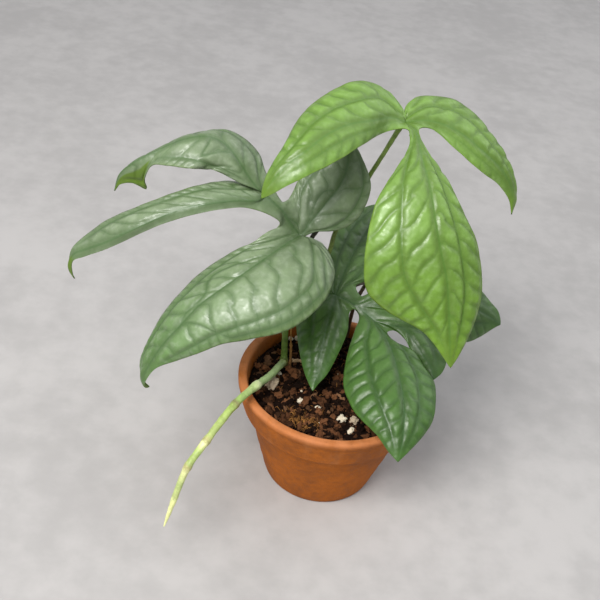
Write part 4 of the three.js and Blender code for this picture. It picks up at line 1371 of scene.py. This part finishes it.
class PLANT_OT_soil(bpy.types.Operator):
    """Build the soil with its crumbs, bark, perlite and fibres"""

    bl_idname = "plant.soil"
    bl_label = "Soil"

    def execute(self, context):
        look = context.scene.amydrium_soil
        draw = random.Random(21)
        peat = soil_material("Peat", look.peat, look.crumb, 0.92)
        bark = soil_material("Bark", (0.035, 0.015, 0.007), (0.24, 0.12, 0.06), 0.8)
        white = soil_material("Perlite", (0.42, 0.32, 0.22), (0.74, 0.65, 0.5), 0.85, 0.1)
        straw = soil_material("Fibre", (0.06, 0.026, 0.008), (0.46, 0.21, 0.06), 0.85)
        new_piece("soil_bed", soil_bed(), (peat,), "soil")
        new_piece("soil_crumbs", loose_crumbs(draw, look.crumbs), (peat,), None)
        new_piece("bark_chips", bark_chips(draw), (bark,), None)
        new_piece("perlite_grains", perlite_grains(draw), (white,), None)
        new_piece("soil_fibres", soil_fibres(draw), (straw,), None)
        return {"FINISHED"}


# Stage

# The camera that was fitted to the photograph: where it looks and how far it stands away, in
# millimetres, and how it is turned, in degrees.
CAMERA_TARGET = (-27.8, 0.0, 135.6)
CAMERA_DISTANCE = 600.0
CAMERA_ELEVATION = 37.8
CAMERA_ROLL = 8.3
CAMERA_LENS = 60.0
CAMERA_SENSOR = 36.0
FLOOR_REACH = 3.0
# Lights, in metres.
LIGHT_AIM = (-0.03, 0.0, 0.12)
KEY_LIGHT = {"place": (-0.45, -0.72, 1.15), "size": 0.75, "colour": (1.0, 0.985, 0.96)}
FILL_LIGHT = {"place": (0.75, 0.5, 1.2), "size": 2.0, "colour": (0.96, 0.98, 1.0)}
WORLD_COLOUR = (0.93, 0.95, 1.0, 1.0)
WORLD_STRENGTH = 0.5


def add_camera(scene):
    data = bpy.data.cameras.new("Camera")
    data.sensor_width = CAMERA_SENSOR
    data.lens = CAMERA_LENS
    camera = bpy.data.objects.new("Camera", data)
    down = math.radians(CAMERA_ELEVATION)
    tilt = Matrix.Rotation(math.radians(90 - CAMERA_ELEVATION), 4, "X")
    roll = Matrix.Rotation(math.radians(CAMERA_ROLL), 4, "Z")
    away = Vector((0, -math.cos(down), math.sin(down))) * CAMERA_DISTANCE
    place = (Vector(CAMERA_TARGET) + away) * MM
    camera.matrix_world = Matrix.Translation(place) @ tilt @ roll
    scene.collection.objects.link(camera)
    scene.camera = camera


def add_floor(scene, floor_colour):
    """A plain floor that is staging and no part of the plant."""
    sheet = bmesh.new()
    bmesh.ops.create_grid(sheet, x_segments=2, y_segments=2, size=FLOOR_REACH)
    mesh = bpy.data.meshes.new("floor")
    sheet.to_mesh(mesh)
    sheet.free()
    floor = bpy.data.objects.new("floor", mesh)
    scene.collection.objects.link(floor)
    stone, tree, shader = new_material("Floor", 0.85)
    blotch = blotch_mask(tree, object_place(tree), 9.0, 60.0)
    colour = blend(tree, blotch, rgba(floor_colour, 0.9), rgba(floor_colour, 1.06))
    fill_inputs(tree, shader, {"Base Color": colour})
    mesh.materials.append(stone)


def add_light(scene, name, place, size, power, colour):
    data = bpy.data.lights.new(name, "AREA")
    data.shape = "DISK"
    data.size = size
    data.energy = power
    data.color = colour
    light = bpy.data.objects.new(name, data)
    light.location = place
    aim = Vector(LIGHT_AIM) - Vector(place)
    light.rotation_euler = aim.to_track_quat("-Z", "Y").to_euler()
    scene.collection.objects.link(light)


def add_world(scene):
    world = bpy.data.worlds.new("Pale room")
    world.use_nodes = True
    sky = world.node_tree.nodes["Background"]
    sky.inputs["Color"].default_value = WORLD_COLOUR
    sky.inputs["Strength"].default_value = WORLD_STRENGTH
    scene.world = world


class PLANT_OT_stage(bpy.types.Operator):
    """Set the camera, the plain floor and the soft light"""

    bl_idname = "plant.stage"
    bl_label = "Stage"

    def execute(self, context):
        scene = context.scene
        look = scene.amydrium_stage
        scene.view_settings.view_transform = "Standard"
        add_camera(scene)
        add_floor(scene, look.floor)
        add_light(scene, "Key light", power=look.key_power, **KEY_LIGHT)
        add_light(scene, "Fill light", power=look.fill_power, **FILL_LIGHT)
        add_world(scene)
        return {"FINISHED"}


class PLANT_PT_panel(bpy.types.Panel):
    """Lists the plant's pieces and settings"""

    bl_label = "Potted Amydrium"
    bl_idname = "PLANT_PT_panel"
    bl_space_type = "VIEW_3D"
    bl_region_type = "UI"
    bl_category = "Plant"

    def draw(self, context):
        scene = context.scene
        layout = self.layout
        for operator, settings, labels in (
            (PLANT_OT_pot, scene.amydrium_pot, ("clay", "lip_clay", "lime")),
            (PLANT_OT_soil, scene.amydrium_soil, ("peat", "crumb", "crumbs")),
            (PLANT_OT_stems, scene.amydrium_stems, ("stem", "runner", "tip")),
            (PLANT_OT_leaves, scene.amydrium_leaves, ("thickness", "young", "sage", "low")),
            (PLANT_OT_stage, scene.amydrium_stage, ("floor", "key_power", "fill_power")),
        ):
            layout.operator(operator.bl_idname)
            for label in labels:
                layout.prop(settings, label)


SETTINGS = {
    "amydrium_pot": PotSettings,
    "amydrium_soil": SoilSettings,
    "amydrium_stems": StemSettings,
    "amydrium_leaves": LeafSettings,
    "amydrium_stage": StageSettings,
}
OPERATORS = (PLANT_OT_stage, PLANT_OT_pot, PLANT_OT_soil, PLANT_OT_stems, PLANT_OT_leaves)


def register():
    for kind in (*SETTINGS.values(), *OPERATORS, PLANT_PT_panel):
        bpy.utils.register_class(kind)
    for name, kind in SETTINGS.items():
        setattr(bpy.types.Scene, name, PointerProperty(type=kind))


def unregister():
    for name in SETTINGS:
        delattr(bpy.types.Scene, name)
    for kind in reversed((*SETTINGS.values(), *OPERATORS, PLANT_PT_panel)):
        bpy.utils.unregister_class(kind)


def main():
    register()
    bpy.ops.plant.stage()
    bpy.ops.plant.pot()
    bpy.ops.plant.soil()
    bpy.ops.plant.stems()
    bpy.ops.plant.leaves()


if __name__ == "__main__":
    main()
